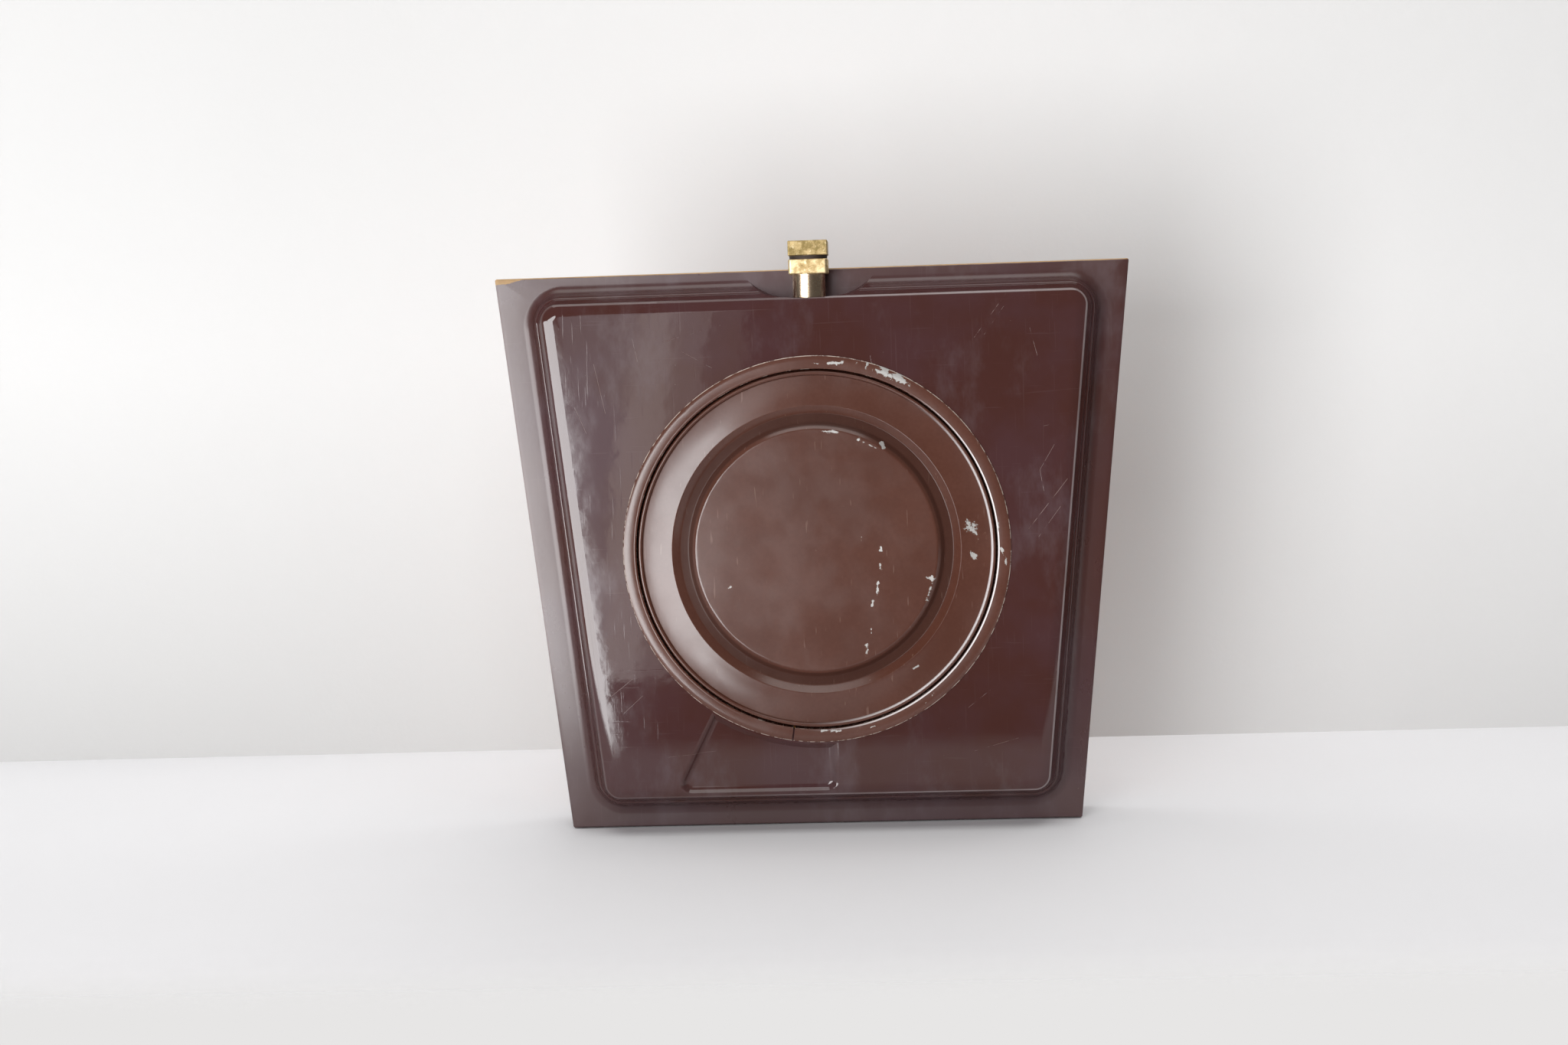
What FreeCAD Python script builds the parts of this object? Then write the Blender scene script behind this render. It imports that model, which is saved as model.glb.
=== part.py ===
import FreeCAD, Part
import math
import os

V = FreeCAD.Vector

# A hanging darkroom safelight, in millimetres.
# Origin: centre of the top face of the upper brass block, where the ceiling pipe screws in.
# +Z is up, +Y is towards the filter window (front), -Y is towards the rear cover, +X completes the frame.
# Depths through the lamp are given as t, counted forwards from the back face of the flange,
# so a height above the flange on the rear side is a negative t.

# ---- brass fitting -------------------------------------------------------------------------
BLOCK = 16.0                # side of the square blocks
UPPER_H = 6.0               # height of the upper block
SWIVEL_GAP = 1.5            # slot between the two blocks
LOWER_H = 5.9               # height of the lower block
PIPE_THREAD_R = 4.46        # M10 x 1 pipe thread, minor radius
PIPE_THREAD_DEPTH = 5.0
SPIGOT_R = 4.2              # hollow swivel spigot under the upper block
SPIGOT_BORE_R = 3.0
RUNNING_GAP = 0.05          # radial clearance of a running fit
STOP_RADIUS = 5.3           # pitch radius of the swivel stop
STOP_PIN_R = 0.55
STOP_PIN_L = 3.0            # depth of the pin's hole in the lower block
STOP_PIN_RISE = 1.1         # the pin stands this far into the slot
STOP_LUG_T = 1.2
WASHER_R = 7.7              # fibre washer that fills the slot outside the stop
WASHER_HOLE_R = 6.2
STEM_R = 6.65               # polished stem tube
STEM_BORE_R = 5.55
STEM_SOCKET = 1.4           # the stem is brazed this deep into the lower block
NIPPLE_R = 5.0              # M10 x 1 hollow nipple
NIPPLE_BORE_R = 3.5
NIPPLE_GRIP = 5.0           # thread engaged in the stem
NIPPLE_HOLE_R = 5.1
Z_LOWER_BLOCK = -UPPER_H - SWIVEL_GAP
Z_BLOCK_BOTTOM = Z_LOWER_BLOCK - LOWER_H

# ---- flange outline ------------------------------------------------------------------------
FLANGE_TOP_W = 260.7
FLANGE_BOTTOM_W = 213.3
FLANGE_H = 230.7
FLANGE_T = 5.0
FLANGE_CORNER_R = 0.8
FLANGE_BEVEL_W = 1.8        # shallow bevel along the flange's sides
FLANGE_BEVEL_TOP = 0.6      # and along its top and bottom
FLANGE_BEVEL_T = 0.6
Z_FLANGE_TOP = -10.9
Y_FLANGE = 8.75             # the back face of the flange lies in front of the stem axis

# ---- raised panel --------------------------------------------------------------------------
PANEL_TOP_W = 221.9         # measured along the crease at the foot of the crown
PANEL_BOTTOM_W = 181.5
PANEL_H = 203.4
PANEL_DROP = 11.8           # from the flange's top edge to the panel's top crease
PANEL_SHIFT_X = 1.3         # the flange is trimmed a little off centre from the moulding
CREASE_CORNER_R = 6.5
CREASE_H = 17.5             # height of the crease above the flange
PANEL_PLANE_H = 18.8        # height of the flat panel above the flange
CROWN_W = 5.0               # width of the sloping crown between crease and flat
WALL_RUN = 6.8              # horizontal run of the two-stage wall at the sides and bottom
WALL_TOP_SCALE = 0.8        # the wall is steeper along the top
LEDGE_H = 8.9               # height of the narrow ledge between the two stages
LEDGE_W = 0.8
FOOT_R = 5.0                # fillet between flange and wall
SHELL_T = 2.8
INNER_FLAT_H = PANEL_PLANE_H - SHELL_T
Z_CREASE_TOP = Z_FLANGE_TOP - PANEL_DROP
Z_CREASE_BOTTOM = Z_CREASE_TOP - PANEL_H

# ---- stem seat in the top wall -------------------------------------------------------------
Z_SEAT = Z_CREASE_TOP - 0.35
SEAT_R = 8.0
SEAT_BOWL_R = 26.0          # the flat seat runs out into the wall on an arc of this radius
SEAT_BOWL_ANGLE = 55
SEAT_PAD_T = 3.2            # thick pad inside the wall under the seat
SEAT_PAD_W = 62.0
Z_PAD = Z_SEAT - SEAT_PAD_T

# ---- round port and rear cover -------------------------------------------------------------
Z_PORT = -125.1
PORT_R = 74.2
RING_OUTER_R = 78.85
RING_INNER_R = 73.4
RING_SHEET = 0.8
RING_FOOT_H = 11.6          # height of the ring's inward lip above the flange
RING_SLIT = 0.7
RING_SLIT_ANGLE = 8.8       # degrees from straight down
RING_BEAD = 0.7             # radius of the round inner edge of the ring
LID_SKIRT_R = 72.6
LID_BEAD_R = 71.8           # raised bead round the lid's rim
LID_BEAD = 0.8
LID_FOLD = 0.7              # tight folds on the outer side of the channel
LID_SHEET = 0.8
DISC_R = 48.3
CHANNEL_IN_R = 52.2
CHANNEL_OUT_R = 55.8
CREST_R = 58.4

# ---- pocket under the ring -----------------------------------------------------------------
POCKET_TOP_LEFT = (-39.2, -188.0)
POCKET_BOTTOM_LEFT = (-55.9, -221.4)
POCKET_RIGHT_X = 2.4
POCKET_SIDE_R = 2.8         # the sides run in and out on arcs of this radius
POCKET_SIDE_ANGLE = 45      # steepest slope of the sides
POCKET_SIDE_RUN = 0.6       # straight stretch between the two arcs
POCKET_ARC_R = 79.6         # the pocket's upper side follows the ring at this radius
POCKET_PAD_T = 2.4          # the wall is thickened by this much behind the pocket

# ---- front frame and filter ----------------------------------------------------------------
GASKET_T = 0.8
FRAME_BACK = FLANGE_T + GASKET_T
FRAME_FRONT = 26.0
FRAME_INSET = 0.3
FRAME_WALL = 3.5
FRAME_EDGE = 0.9
RAIL_BACK = 15.0
GROOVE_BACK = 17.0
GROOVE_FRONT = 23.5
GROOVE_INSET = 16.0
WINDOW_INSET = 24.0
WINDOW_TOP_INSET = 21.0
WINDOW_BOTTOM_INSET = 23.0
WINDOW_R = 6.0
WINDOW_BEVEL = 2.5
FILTER_CLEAR = 0.3
PACK_BACK = 17.7
GLASS_T = 2.0
GELATINE_T = 0.25
BINDING_T = 0.3
BINDING_W = 7.0
STRIP_T = 0.25
STRIP_H = 10.0
STRIP_CAP_T = 0.8
SEAL_T = 0.55
SCREW_INSET = 8.5
SCREW_R = 2.0
SCREW_HEAD_R = 4.0
SCREW_HEAD_T = 2.2
SCREW_HOLE_R = 2.25
BOSS_R = 5.0
INSERT_R = 2.9
INSERT_L = 3.8
SPRING_L = 34.0
SPRING_W = 5.0
SPRING_T = 0.2
SPRING_BOW = 0.4
RIVET_R = 0.8

# ---- lamp ----------------------------------------------------------------------------------
Y_LAMP = 11.0
BRACKET_T = 1.5
BRACKET_W = 20.0
BRACKET_GAP = 16.3
BRACKET_WEB_Y = 22.0
Z_HOLDER = Z_PAD - 2 * BRACKET_T - BRACKET_GAP
HOLDER_R = 12.5
CAP_H = 14.0
SKIRT_H = 22.0
CORE_R = 10.3
CORE_T = 6.0
LAMP_THREAD_R = 6.95        # E14 cap
SHELL_R = 7.45
BULB_R = 13.0
BULB_GLASS_T = 0.7

# ---- terminal block ------------------------------------------------------------------------
TB_X = (-49.0, -23.0)
TB_Y = (-4.2, 7.8)
TB_Z = (-48.0, -34.0)
TB_TUBE_X = (-42.0, -30.0)
TB_TUBE_Y = 2.6
TB_TUBE_R = 2.5
TB_BORE_R = 1.6
LEAD_R = 1.25


# ==== helpers ===============================================================================
def ybox(x, y, z):
    """Box from three (low, high) pairs."""
    return Part.makeBox(x[1] - x[0], y[1] - y[0], z[1] - z[0], V(x[0], y[0], z[0]))


def zcyl(r, z0, z1, x=0.0, y=0.0):
    return Part.makeCylinder(r, z1 - z0, V(x, y, z0), V(0, 0, 1))


def ycyl(r, y0, y1, x=0.0, z=0.0):
    return Part.makeCylinder(r, y1 - y0, V(x, y0, z), V(0, 1, 0))


def ztube(r_out, r_in, z0, z1, x=0.0, y=0.0):
    return zcyl(r_out, z0, z1, x, y).cut(zcyl(r_in, z0 - 1, z1 + 1, x, y))


def fused(shapes):
    whole = shapes[0]
    for shape in shapes[1:]:
        whole = whole.fuse(shape)
    return whole.removeSplitter()


def hex_nut(across_flats, hole_r, z0, z1, x=0.0, y=0.0):
    """Hexagon nut on a Z axis with two flats facing Y."""
    corner = across_flats / math.sqrt(3)
    points = [V(x + corner * math.cos(math.radians(60 * k)),
                y + corner * math.sin(math.radians(60 * k)), z0) for k in range(7)]
    prism = Part.Face(Part.makePolygon(points)).extrude(V(0, 0, z1 - z0))
    dome = Part.makeCone(corner * 1.04, across_flats / 2 - 0.2, z1 - z0, V(x, y, z0), V(0, 0, 1))
    low = Part.makeCone(across_flats / 2 - 0.2, corner * 1.04, z1 - z0, V(x, y, z0), V(0, 0, 1))
    chamfered = prism.common(dome.fuse(zcyl(corner, z0, z1 - 1.0, x, y)))
    chamfered = chamfered.common(low.fuse(zcyl(corner, z0 + 1.0, z1, x, y)))
    return chamfered.cut(zcyl(hole_r, z0 - 1, z1 + 1, x, y)).removeSplitter()


def revolve(profile, centre, axis):
    """Solid of revolution of (r, a) points: r from the axis, a along it."""
    side = V(1, 0, 0)
    points = [centre + side * r + axis * a for r, a in profile]
    points.append(points[0])
    face = Part.Face(Part.makePolygon(points))
    return face.revolve(centre, axis, 360)


def arc_points(cx, cy, r, start, end, steps):
    """Points on a circular arc, angles in degrees."""
    out = []
    for k in range(steps + 1):
        angle = math.radians(start + (end - start) * k / steps)
        out.append((cx + r * math.cos(angle), cy + r * math.sin(angle)))
    return out


def trapezoid(top_w, bottom_w, z_top, z_bottom, shift_x, side, top, bottom):
    """Corner points of a trapezoid grown by side, top and bottom; negative values shrink it."""
    slope = (top_w - bottom_w) / 2 / (z_top - z_bottom)
    grow = side * math.sqrt(1 + slope * slope)

    def half(z):
        return bottom_w / 2 + slope * (z - z_bottom) + grow

    zt = z_top + top
    zb = z_bottom - bottom
    return [(shift_x - half(zt), zt), (shift_x + half(zt), zt),
            (shift_x + half(zb), zb), (shift_x - half(zb), zb)]


def flange_trapezoid(side, top=None, bottom=None):
    """The flange's outline shrunk by side; top and bottom may differ."""
    top = side if top is None else top
    bottom = side if bottom is None else bottom
    return trapezoid(FLANGE_TOP_W, FLANGE_BOTTOM_W, Z_FLANGE_TOP, Z_FLANGE_TOP - FLANGE_H,
                     0.0, -side, -top, -bottom)


def rounded_wire(corners, radius, y):
    """Closed wire at depth y with its four corners rounded by true arcs."""
    points = [V(x, y, z) for x, z in corners]
    edges = []
    ends = []
    for k in range(4):
        here = points[k]
        back = (points[k - 1] - here).normalize()
        ahead = (points[(k + 1) % 4] - here).normalize()
        half_angle = back.getAngle(ahead) / 2
        run = radius / math.tan(half_angle)
        inward = (back + ahead).normalize()
        mid = here + inward * (radius / math.sin(half_angle) - radius)
        ends.append((here + back * run, mid, here + ahead * run))
    for k in range(4):
        start, mid, end = ends[k]
        edges.append(Part.Arc(start, mid, end).toShape())
        edges.append(Part.LineSegment(end, ends[(k + 1) % 4][0]).toShape())
    return Part.Wire(edges)


def prism(corners, radius, t0, t1):
    """Rounded trapezoid plate between two depths."""
    y0 = Y_FLANGE + t0
    return Part.Face(rounded_wire(corners, radius, y0)).extrude(V(0, t1 - t0, 0))


def crease_corners(u):
    """Outline of the raised panel at an outward offset u from its crease."""
    top = u * WALL_TOP_SCALE if u > 0 else u
    return trapezoid(PANEL_TOP_W, PANEL_BOTTOM_W, Z_CREASE_TOP, Z_CREASE_BOTTOM,
                     PANEL_SHIFT_X, u, top, u)


def stacked(profile):
    """Ruled solid through rounded trapezoids; profile holds (offset u, height above the flange)."""
    wires = []
    for u, h in profile:
        radius = max(CREASE_CORNER_R + u, 1.5)
        wires.append(rounded_wire(crease_corners(u), radius, Y_FLANGE - h))
    return Part.makeLoft(wires, True, True)


def rod_path(points, bend):
    """Wire of straight runs joined by tangent arcs of one radius."""
    edges = []
    last = points[0]
    for k in range(1, len(points) - 1):
        here = points[k]
        back = (points[k - 1] - here).normalize()
        ahead = (points[k + 1] - here).normalize()
        half_angle = back.getAngle(ahead) / 2
        run = bend / math.tan(half_angle)
        mid = here + (back + ahead).normalize() * (bend / math.sin(half_angle) - bend)
        start = here + back * run
        end = here + ahead * run
        edges.append(Part.LineSegment(last, start).toShape())
        edges.append(Part.Arc(start, mid, end).toShape())
        last = end
    edges.append(Part.LineSegment(last, points[-1]).toShape())
    return Part.Wire(edges)


def rod(points, r, bend):
    """Round rod or wire along straight runs joined by arcs."""
    path = rod_path(points, bend)
    direction = points[1] - points[0]
    section = Part.Wire(Part.makeCircle(r, points[0], direction))
    return path.makePipeShell([section], True, True)


# ==== brass fitting =========================================================================
def square_block(z0, z1, edge):
    """Square block with its four upright edges rounded."""
    half = BLOCK / 2
    block = ybox((-half, half), (-half, half), (z0, z1))
    upright = [e for e in block.Edges if abs(e.Vertexes[0].Z - e.Vertexes[-1].Z) > (z1 - z0) / 2]
    return block.makeFillet(edge, upright)


def knuckle_upper():
    block = square_block(-UPPER_H, 0.0, 0.35)
    flat = [e for e in block.Edges if abs(e.BoundBox.ZMax - e.BoundBox.ZMin) < 0.01]
    block = block.makeChamfer(0.3, flat)
    z_end = Z_BLOCK_BOTTOM - 1.2
    spigot = zcyl(SPIGOT_R, z_end, -UPPER_H + 0.5)
    half = STOP_LUG_T / 2
    lug = ybox((-half, half), (-STOP_RADIUS - half, -SPIGOT_R + 0.5), (-UPPER_H - STOP_LUG_T, -UPPER_H + 0.5))
    body = fused([block, spigot, lug])
    body = body.cut(zcyl(PIPE_THREAD_R, -PIPE_THREAD_DEPTH, 1.0))
    return body.cut(zcyl(SPIGOT_BORE_R, z_end - 1, 0.0))


def swivel_washer():
    return ztube(WASHER_R, WASHER_HOLE_R, Z_LOWER_BLOCK + RUNNING_GAP, -UPPER_H)


def swivel_collar():
    top = Z_BLOCK_BOTTOM + STEM_SOCKET - 0.75
    return ztube(STEM_BORE_R - 0.35, SPIGOT_R, top - 1.6, top)


def knuckle_lower():
    block = square_block(Z_BLOCK_BOTTOM, Z_LOWER_BLOCK, 1.3)
    flat = [e for e in block.Edges if abs(e.BoundBox.ZMax - e.BoundBox.ZMin) < 0.01]
    block = block.makeChamfer(0.3, flat)
    block = block.cut(zcyl(SPIGOT_R + RUNNING_GAP, Z_BLOCK_BOTTOM - 1, Z_LOWER_BLOCK + 1))
    block = block.cut(zcyl(STEM_R, Z_BLOCK_BOTTOM - 1, Z_BLOCK_BOTTOM + STEM_SOCKET))
    return block.cut(zcyl(STOP_PIN_R, Z_LOWER_BLOCK - STOP_PIN_L, Z_LOWER_BLOCK + 1, 0.0, STOP_RADIUS))


def swivel_stop_pin():
    return zcyl(STOP_PIN_R, Z_LOWER_BLOCK - STOP_PIN_L, Z_LOWER_BLOCK + STOP_PIN_RISE, 0.0, STOP_RADIUS)


def swivel_spring_washer():
    top = Z_BLOCK_BOTTOM + STEM_SOCKET
    return ztube(STEM_BORE_R - 0.15, SPIGOT_R + 0.35, top - 0.6, top)


def stem_tube():
    z_top = Z_BLOCK_BOTTOM + STEM_SOCKET
    tube = ztube(STEM_R, STEM_BORE_R, Z_SEAT, z_top)
    land = ztube(STEM_BORE_R + 0.4, NIPPLE_R, Z_SEAT, Z_SEAT + NIPPLE_GRIP + 0.5)
    return fused([tube, land])


def stem_nipple():
    return ztube(NIPPLE_R, NIPPLE_BORE_R, Z_PAD - 7.9, Z_SEAT + NIPPLE_GRIP)


def stem_lock_washer():
    top = Z_PAD - BRACKET_T - 0.6
    return ztube(6.8, NIPPLE_R + 0.1, top - 1.0, top)


def stem_nut():
    top = Z_PAD - BRACKET_T - 1.6
    return hex_nut(13.0, NIPPLE_R, top - 4.0, top)


def earth_tag():
    top = Z_PAD - BRACKET_T
    ring = zcyl(6.6, top - 0.6, top)
    tail = ybox((4.0, 15.0), (-2.0, 2.0), (top - 0.6, top))
    eye = zcyl(3.0, top - 0.6, top, 15.0)
    tag = fused([ring, tail, eye])
    tag = tag.cut(zcyl(1.4, top - 2, top + 1, 15.0))
    return tag.cut(zcyl(NIPPLE_R + 0.1, top - 2, top + 1))


# ==== housing ===============================================================================
def outer_profile():
    """Offsets and heights from the flange up to the flat of the panel."""
    ledge_out = WALL_RUN - 3.0
    wall_angle = math.degrees(math.atan2(LEDGE_H - 0.3, 3.0))
    tangent = FOOT_R / math.tan(math.radians(180 - wall_angle) / 2)
    centre_u = WALL_RUN + tangent
    foot = arc_points(centre_u, FOOT_R, FOOT_R, 270, 270 - wall_angle, 6)
    ledge = [(ledge_out + 0.12, LEDGE_H - 0.75), (ledge_out - 0.05, LEDGE_H - 0.25),
             (ledge_out - 0.35, LEDGE_H), (ledge_out - LEDGE_W + 0.05, LEDGE_H + 0.1),
             (ledge_out - LEDGE_W - 0.12, LEDGE_H + 0.35)]
    crease = [(0.32, CREASE_H - 1.0), (0.12, CREASE_H - 0.45), (-0.12, CREASE_H - 0.1),
              (-0.5, CREASE_H + 0.12)]
    crown = []
    for k in range(1, 6):
        part = k / 5
        rise = PANEL_PLANE_H - CREASE_H - 0.12
        crown.append((-0.5 - (CROWN_W - 0.5) * part, CREASE_H + 0.12 + rise * (1 - (1 - part) ** 2)))
    return [(centre_u, -2.0)] + foot + ledge + crease + crown


def inner_profile():
    """Offsets and heights of the cavity, a wall thickness inside the outer profile."""
    foot_u = WALL_RUN - SHELL_T - 0.1
    return [(foot_u, -FLANGE_T - 1.0), (foot_u, 0.3), (foot_u - 2.6, LEDGE_H - 2.2),
            (foot_u - 3.5, LEDGE_H - 1.5), (-SHELL_T + 0.1, CREASE_H - SHELL_T + 0.2),
            (-CROWN_W - 1.0, INNER_FLAT_H)]


def flange_plate():
    face = flange_trapezoid(FLANGE_BEVEL_W, FLANGE_BEVEL_TOP, FLANGE_BEVEL_TOP)
    wires = [rounded_wire(face, FLANGE_CORNER_R, Y_FLANGE)]
    for depth in (FLANGE_BEVEL_T, FLANGE_T):
        wires.append(rounded_wire(flange_trapezoid(0.0), FLANGE_CORNER_R, Y_FLANGE + depth))
    return Part.makeLoft(wires, True, True)


def stem_seat_cutter():
    """Shallow bowl that gives the stem a square seat on the sloping wall."""
    bowl = arc_points(SEAT_R, SEAT_BOWL_R, SEAT_BOWL_R, 270, 270 + SEAT_BOWL_ANGLE, 10)
    height = Z_FLANGE_TOP - Z_SEAT
    profile = [(0.0, 0.0)] + bowl + [(bowl[-1][0], height), (0.0, height)]
    return revolve(profile, V(0, 0, Z_SEAT), V(0, 0, 1))


def stem_pad():
    """Thick pad inside the wall under the stem seat."""
    half = SEAT_PAD_W / 2
    return ybox((-half, half), (-20.0, Y_FLANGE + FLANGE_T), (Z_PAD, Z_FLANGE_TOP - 1))


def pocket_corners(grow):
    """Outline of the pocket's floor grown sideways and downwards."""
    x0, z0 = POCKET_TOP_LEFT
    x1, z1 = POCKET_BOTTOM_LEFT
    right = POCKET_RIGHT_X + grow
    return [(x0 - grow, z0), (right, z0), (right, z1 - grow), (x1 - grow * 1.6, z1 - grow)]


def pocket_section():
    """Side of the pocket as (growth, rise): a hollow arc, a short slope and a round shoulder."""
    r = POCKET_SIDE_R
    angle = math.radians(POCKET_SIDE_ANGLE)
    low = [(x, r + y) for x, y in arc_points(0, 0, r, -90, -90 + POCKET_SIDE_ANGLE, 5)]
    foot_x, foot_y = low[-1]
    top_x = foot_x + POCKET_SIDE_RUN * math.cos(angle)
    top_y = foot_y + POCKET_SIDE_RUN * math.sin(angle)
    high = arc_points(top_x + r * math.sin(angle), top_y - r * math.cos(angle), r,
                      90 + POCKET_SIDE_ANGLE, 90, 5)
    return low + high


def pocket_cutter():
    """Shallow recess below the ring with rounded sides."""
    section = pocket_section()
    depth = section[-1][1]
    wires = []
    for grow, rise in section:
        y = Y_FLANGE - PANEL_PLANE_H + depth - rise
        wires.append(rounded_wire(pocket_corners(grow), 1.2 + grow, y))
    wires.append(rounded_wire(pocket_corners(section[-1][0]), 1.2 + section[-1][0],
                              Y_FLANGE - PANEL_PLANE_H - 1.0))
    recess = Part.makeLoft(wires, True, True)
    y_panel = Y_FLANGE - PANEL_PLANE_H
    land = Part.makeCone(POCKET_ARC_R - 1.0, POCKET_ARC_R + depth, depth + 1.0,
                         V(0, y_panel - 1.0, Z_PORT), V(0, 1, 0))
    return recess.cut(land)


def pocket_pad():
    """Thicker wall behind the pocket, clear of the ring's tabs."""
    pad = prism(pocket_corners(6.0), 3.0, -INNER_FLAT_H - 1, -INNER_FLAT_H + POCKET_PAD_T)
    return pad.cut(ycyl(POCKET_ARC_R - 0.9, -20.0, 20.0, 0.0, Z_PORT))


def screw_places():
    """Centres of the four frame screws, in from the flange's corners."""
    return flange_trapezoid(SCREW_INSET)


def rear_housing():
    dome = stacked(outer_profile())
    dome = dome.cut(stem_seat_cutter())
    body = dome.fuse(flange_plate())
    cavity = stacked(inner_profile()).cut(stem_pad()).cut(pocket_pad())
    body = body.cut(cavity)
    body = body.cut(pocket_cutter())
    y_out = Y_FLANGE - PANEL_PLANE_H
    body = body.cut(ycyl(PORT_R, y_out - 5, y_out + 8, 0.0, Z_PORT))
    body = body.cut(zcyl(NIPPLE_HOLE_R, Z_PAD - 2, Z_SEAT + 2))
    for x, z in screw_places():
        y_front = Y_FLANGE + FLANGE_T
        body = body.cut(ycyl(INSERT_R, y_front - INSERT_L, y_front + 1, x, z))
    inner_y = Y_FLANGE - INNER_FLAT_H
    boss_x = (TB_X[0] + TB_X[1]) / 2
    boss_z = (TB_Z[0] + TB_Z[1]) / 2
    body = body.fuse(ycyl(3.6, inner_y - 0.5, TB_Y[0], boss_x, boss_z))
    body = body.cut(ycyl(1.5, inner_y - 1.0, TB_Y[0] + 1, boss_x, boss_z))
    return body.removeSplitter()


def frame_inserts():
    y_front = Y_FLANGE + FLANGE_T
    made = []
    for x, z in screw_places():
        outer = ycyl(INSERT_R, y_front - INSERT_L, y_front, x, z)
        made.append(outer.cut(ycyl(SCREW_R, y_front - INSERT_L - 1, y_front + 1, x, z)))
    return Part.makeCompound(made)


def frame_screws():
    y_tip = Y_FLANGE + FLANGE_T - INSERT_L + 0.3
    y_head = Y_FLANGE + FRAME_FRONT
    made = []
    for x, z in screw_places():
        shank = ycyl(SCREW_R, y_tip, y_head - 0.6, x, z)
        head = Part.makeCone(SCREW_R, SCREW_HEAD_R, SCREW_HEAD_T, V(x, y_head - 0.4 - SCREW_HEAD_T, z),
                             V(0, 1, 0))
        slot = ybox((x - 5, x + 5), (y_head - 1.3, y_head + 1), (z - 0.5, z + 0.5))
        slot.rotate(V(x, 0, z), V(0, 1, 0), 25 + 31 * len(made))
        made.append(fused([shank, head]).cut(slot))
    return Part.makeCompound(made)


def flange_gasket():
    outer = prism(flange_trapezoid(1.2), 1.5, FLANGE_T, FRAME_BACK)
    inner = prism(flange_trapezoid(FRAME_WALL + 0.3), 1.5, FLANGE_T - 1, FRAME_BACK + 1)
    return outer.cut(inner)


# ==== front frame ===========================================================================
def window_corners(grow=0.0):
    return flange_trapezoid(WINDOW_INSET - grow, WINDOW_TOP_INSET - grow, WINDOW_BOTTOM_INSET - grow)


def front_frame():
    body = prism(flange_trapezoid(FRAME_INSET), 1.2, FRAME_BACK, FRAME_FRONT)
    y_front = Y_FLANGE + FRAME_FRONT
    rim = [e for e in body.Edges if abs(e.BoundBox.YMin - y_front) < 0.01]
    body = body.makeChamfer(FRAME_EDGE, rim)
    cavity = prism(flange_trapezoid(FRAME_INSET + FRAME_WALL), 2.0, FRAME_BACK - 1, RAIL_BACK)
    places = screw_places()
    for x, z in places:
        cavity = cavity.cut(ycyl(BOSS_R, Y_FLANGE, Y_FLANGE + RAIL_BACK + 1, x, z))
    body = body.cut(cavity)
    body = body.cut(prism(window_corners(), WINDOW_R, RAIL_BACK - 1, FRAME_FRONT + 1))
    bevel = [rounded_wire(window_corners(g), WINDOW_R + g, y_front - WINDOW_BEVEL + g)
             for g in (0.0, WINDOW_BEVEL + 0.5)]
    body = body.cut(Part.makeLoft(bevel, True, True))
    groove = prism(flange_trapezoid(GROOVE_INSET, -5.0, GROOVE_INSET), 1.5, GROOVE_BACK, GROOVE_FRONT)
    body = body.cut(groove)
    for x, z in places:
        body = body.cut(ycyl(SCREW_HOLE_R, Y_FLANGE, y_front + 1, x, z))
        sink = Part.makeCone(SCREW_R + 0.05, SCREW_HEAD_R + 0.6, SCREW_HEAD_T + 0.5,
                             V(x, y_front - 0.35 - SCREW_HEAD_T, z), V(0, 1, 0))
        body = body.cut(sink)
    return body.removeSplitter()


def window_seal():
    outer = prism(flange_trapezoid(GROOVE_INSET + 1.0, 8.0, GROOVE_INSET + 1.0), 3.0,
                  GROOVE_FRONT - SEAL_T, GROOVE_FRONT)
    inner = prism(window_corners(0.5), WINDOW_R, GROOVE_FRONT - 2, GROOVE_FRONT + 1)
    return outer.cut(inner)


def side_place(sign, z, inset):
    """Point at height z, inset from the flange's side; sign picks the side."""
    corners = flange_trapezoid(inset)
    top, bottom = corners[1], corners[2]
    part = (z - bottom[1]) / (top[1] - bottom[1])
    return V(sign * (bottom[0] + (top[0] - bottom[0]) * part), 0, z)


def spring_places():
    out = []
    for sign in (-1, 1):
        for z in (-75.0, -180.0):
            out.append((sign, side_place(sign, z, 20.0)))
    return out


def side_tilt(sign):
    slope = (FLANGE_TOP_W - FLANGE_BOTTOM_W) / 2 / FLANGE_H
    return sign * math.degrees(math.atan(slope))


def rivet(place, sign):
    """Small rivet through the rear rail at the lower end of a leaf spring."""
    y0 = Y_FLANGE + RAIL_BACK
    y1 = Y_FLANGE + GROOVE_BACK
    shank = ycyl(RIVET_R, y0 - 0.1, y1 + SPRING_T, 0.0, 0.0)
    head = ycyl(RIVET_R * 2, y0 - 0.7, y0, 0.0, 0.0)
    made = fused([shank, head])
    made.translate(V(0, 0, -SPRING_L / 2 + 2.5))
    made.rotate(V(0, 0, 0), V(0, 1, 0), side_tilt(sign))
    made.translate(place)
    return made


def spring_rivets():
    return Part.makeCompound([rivet(place, sign) for sign, place in spring_places()])


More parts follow.
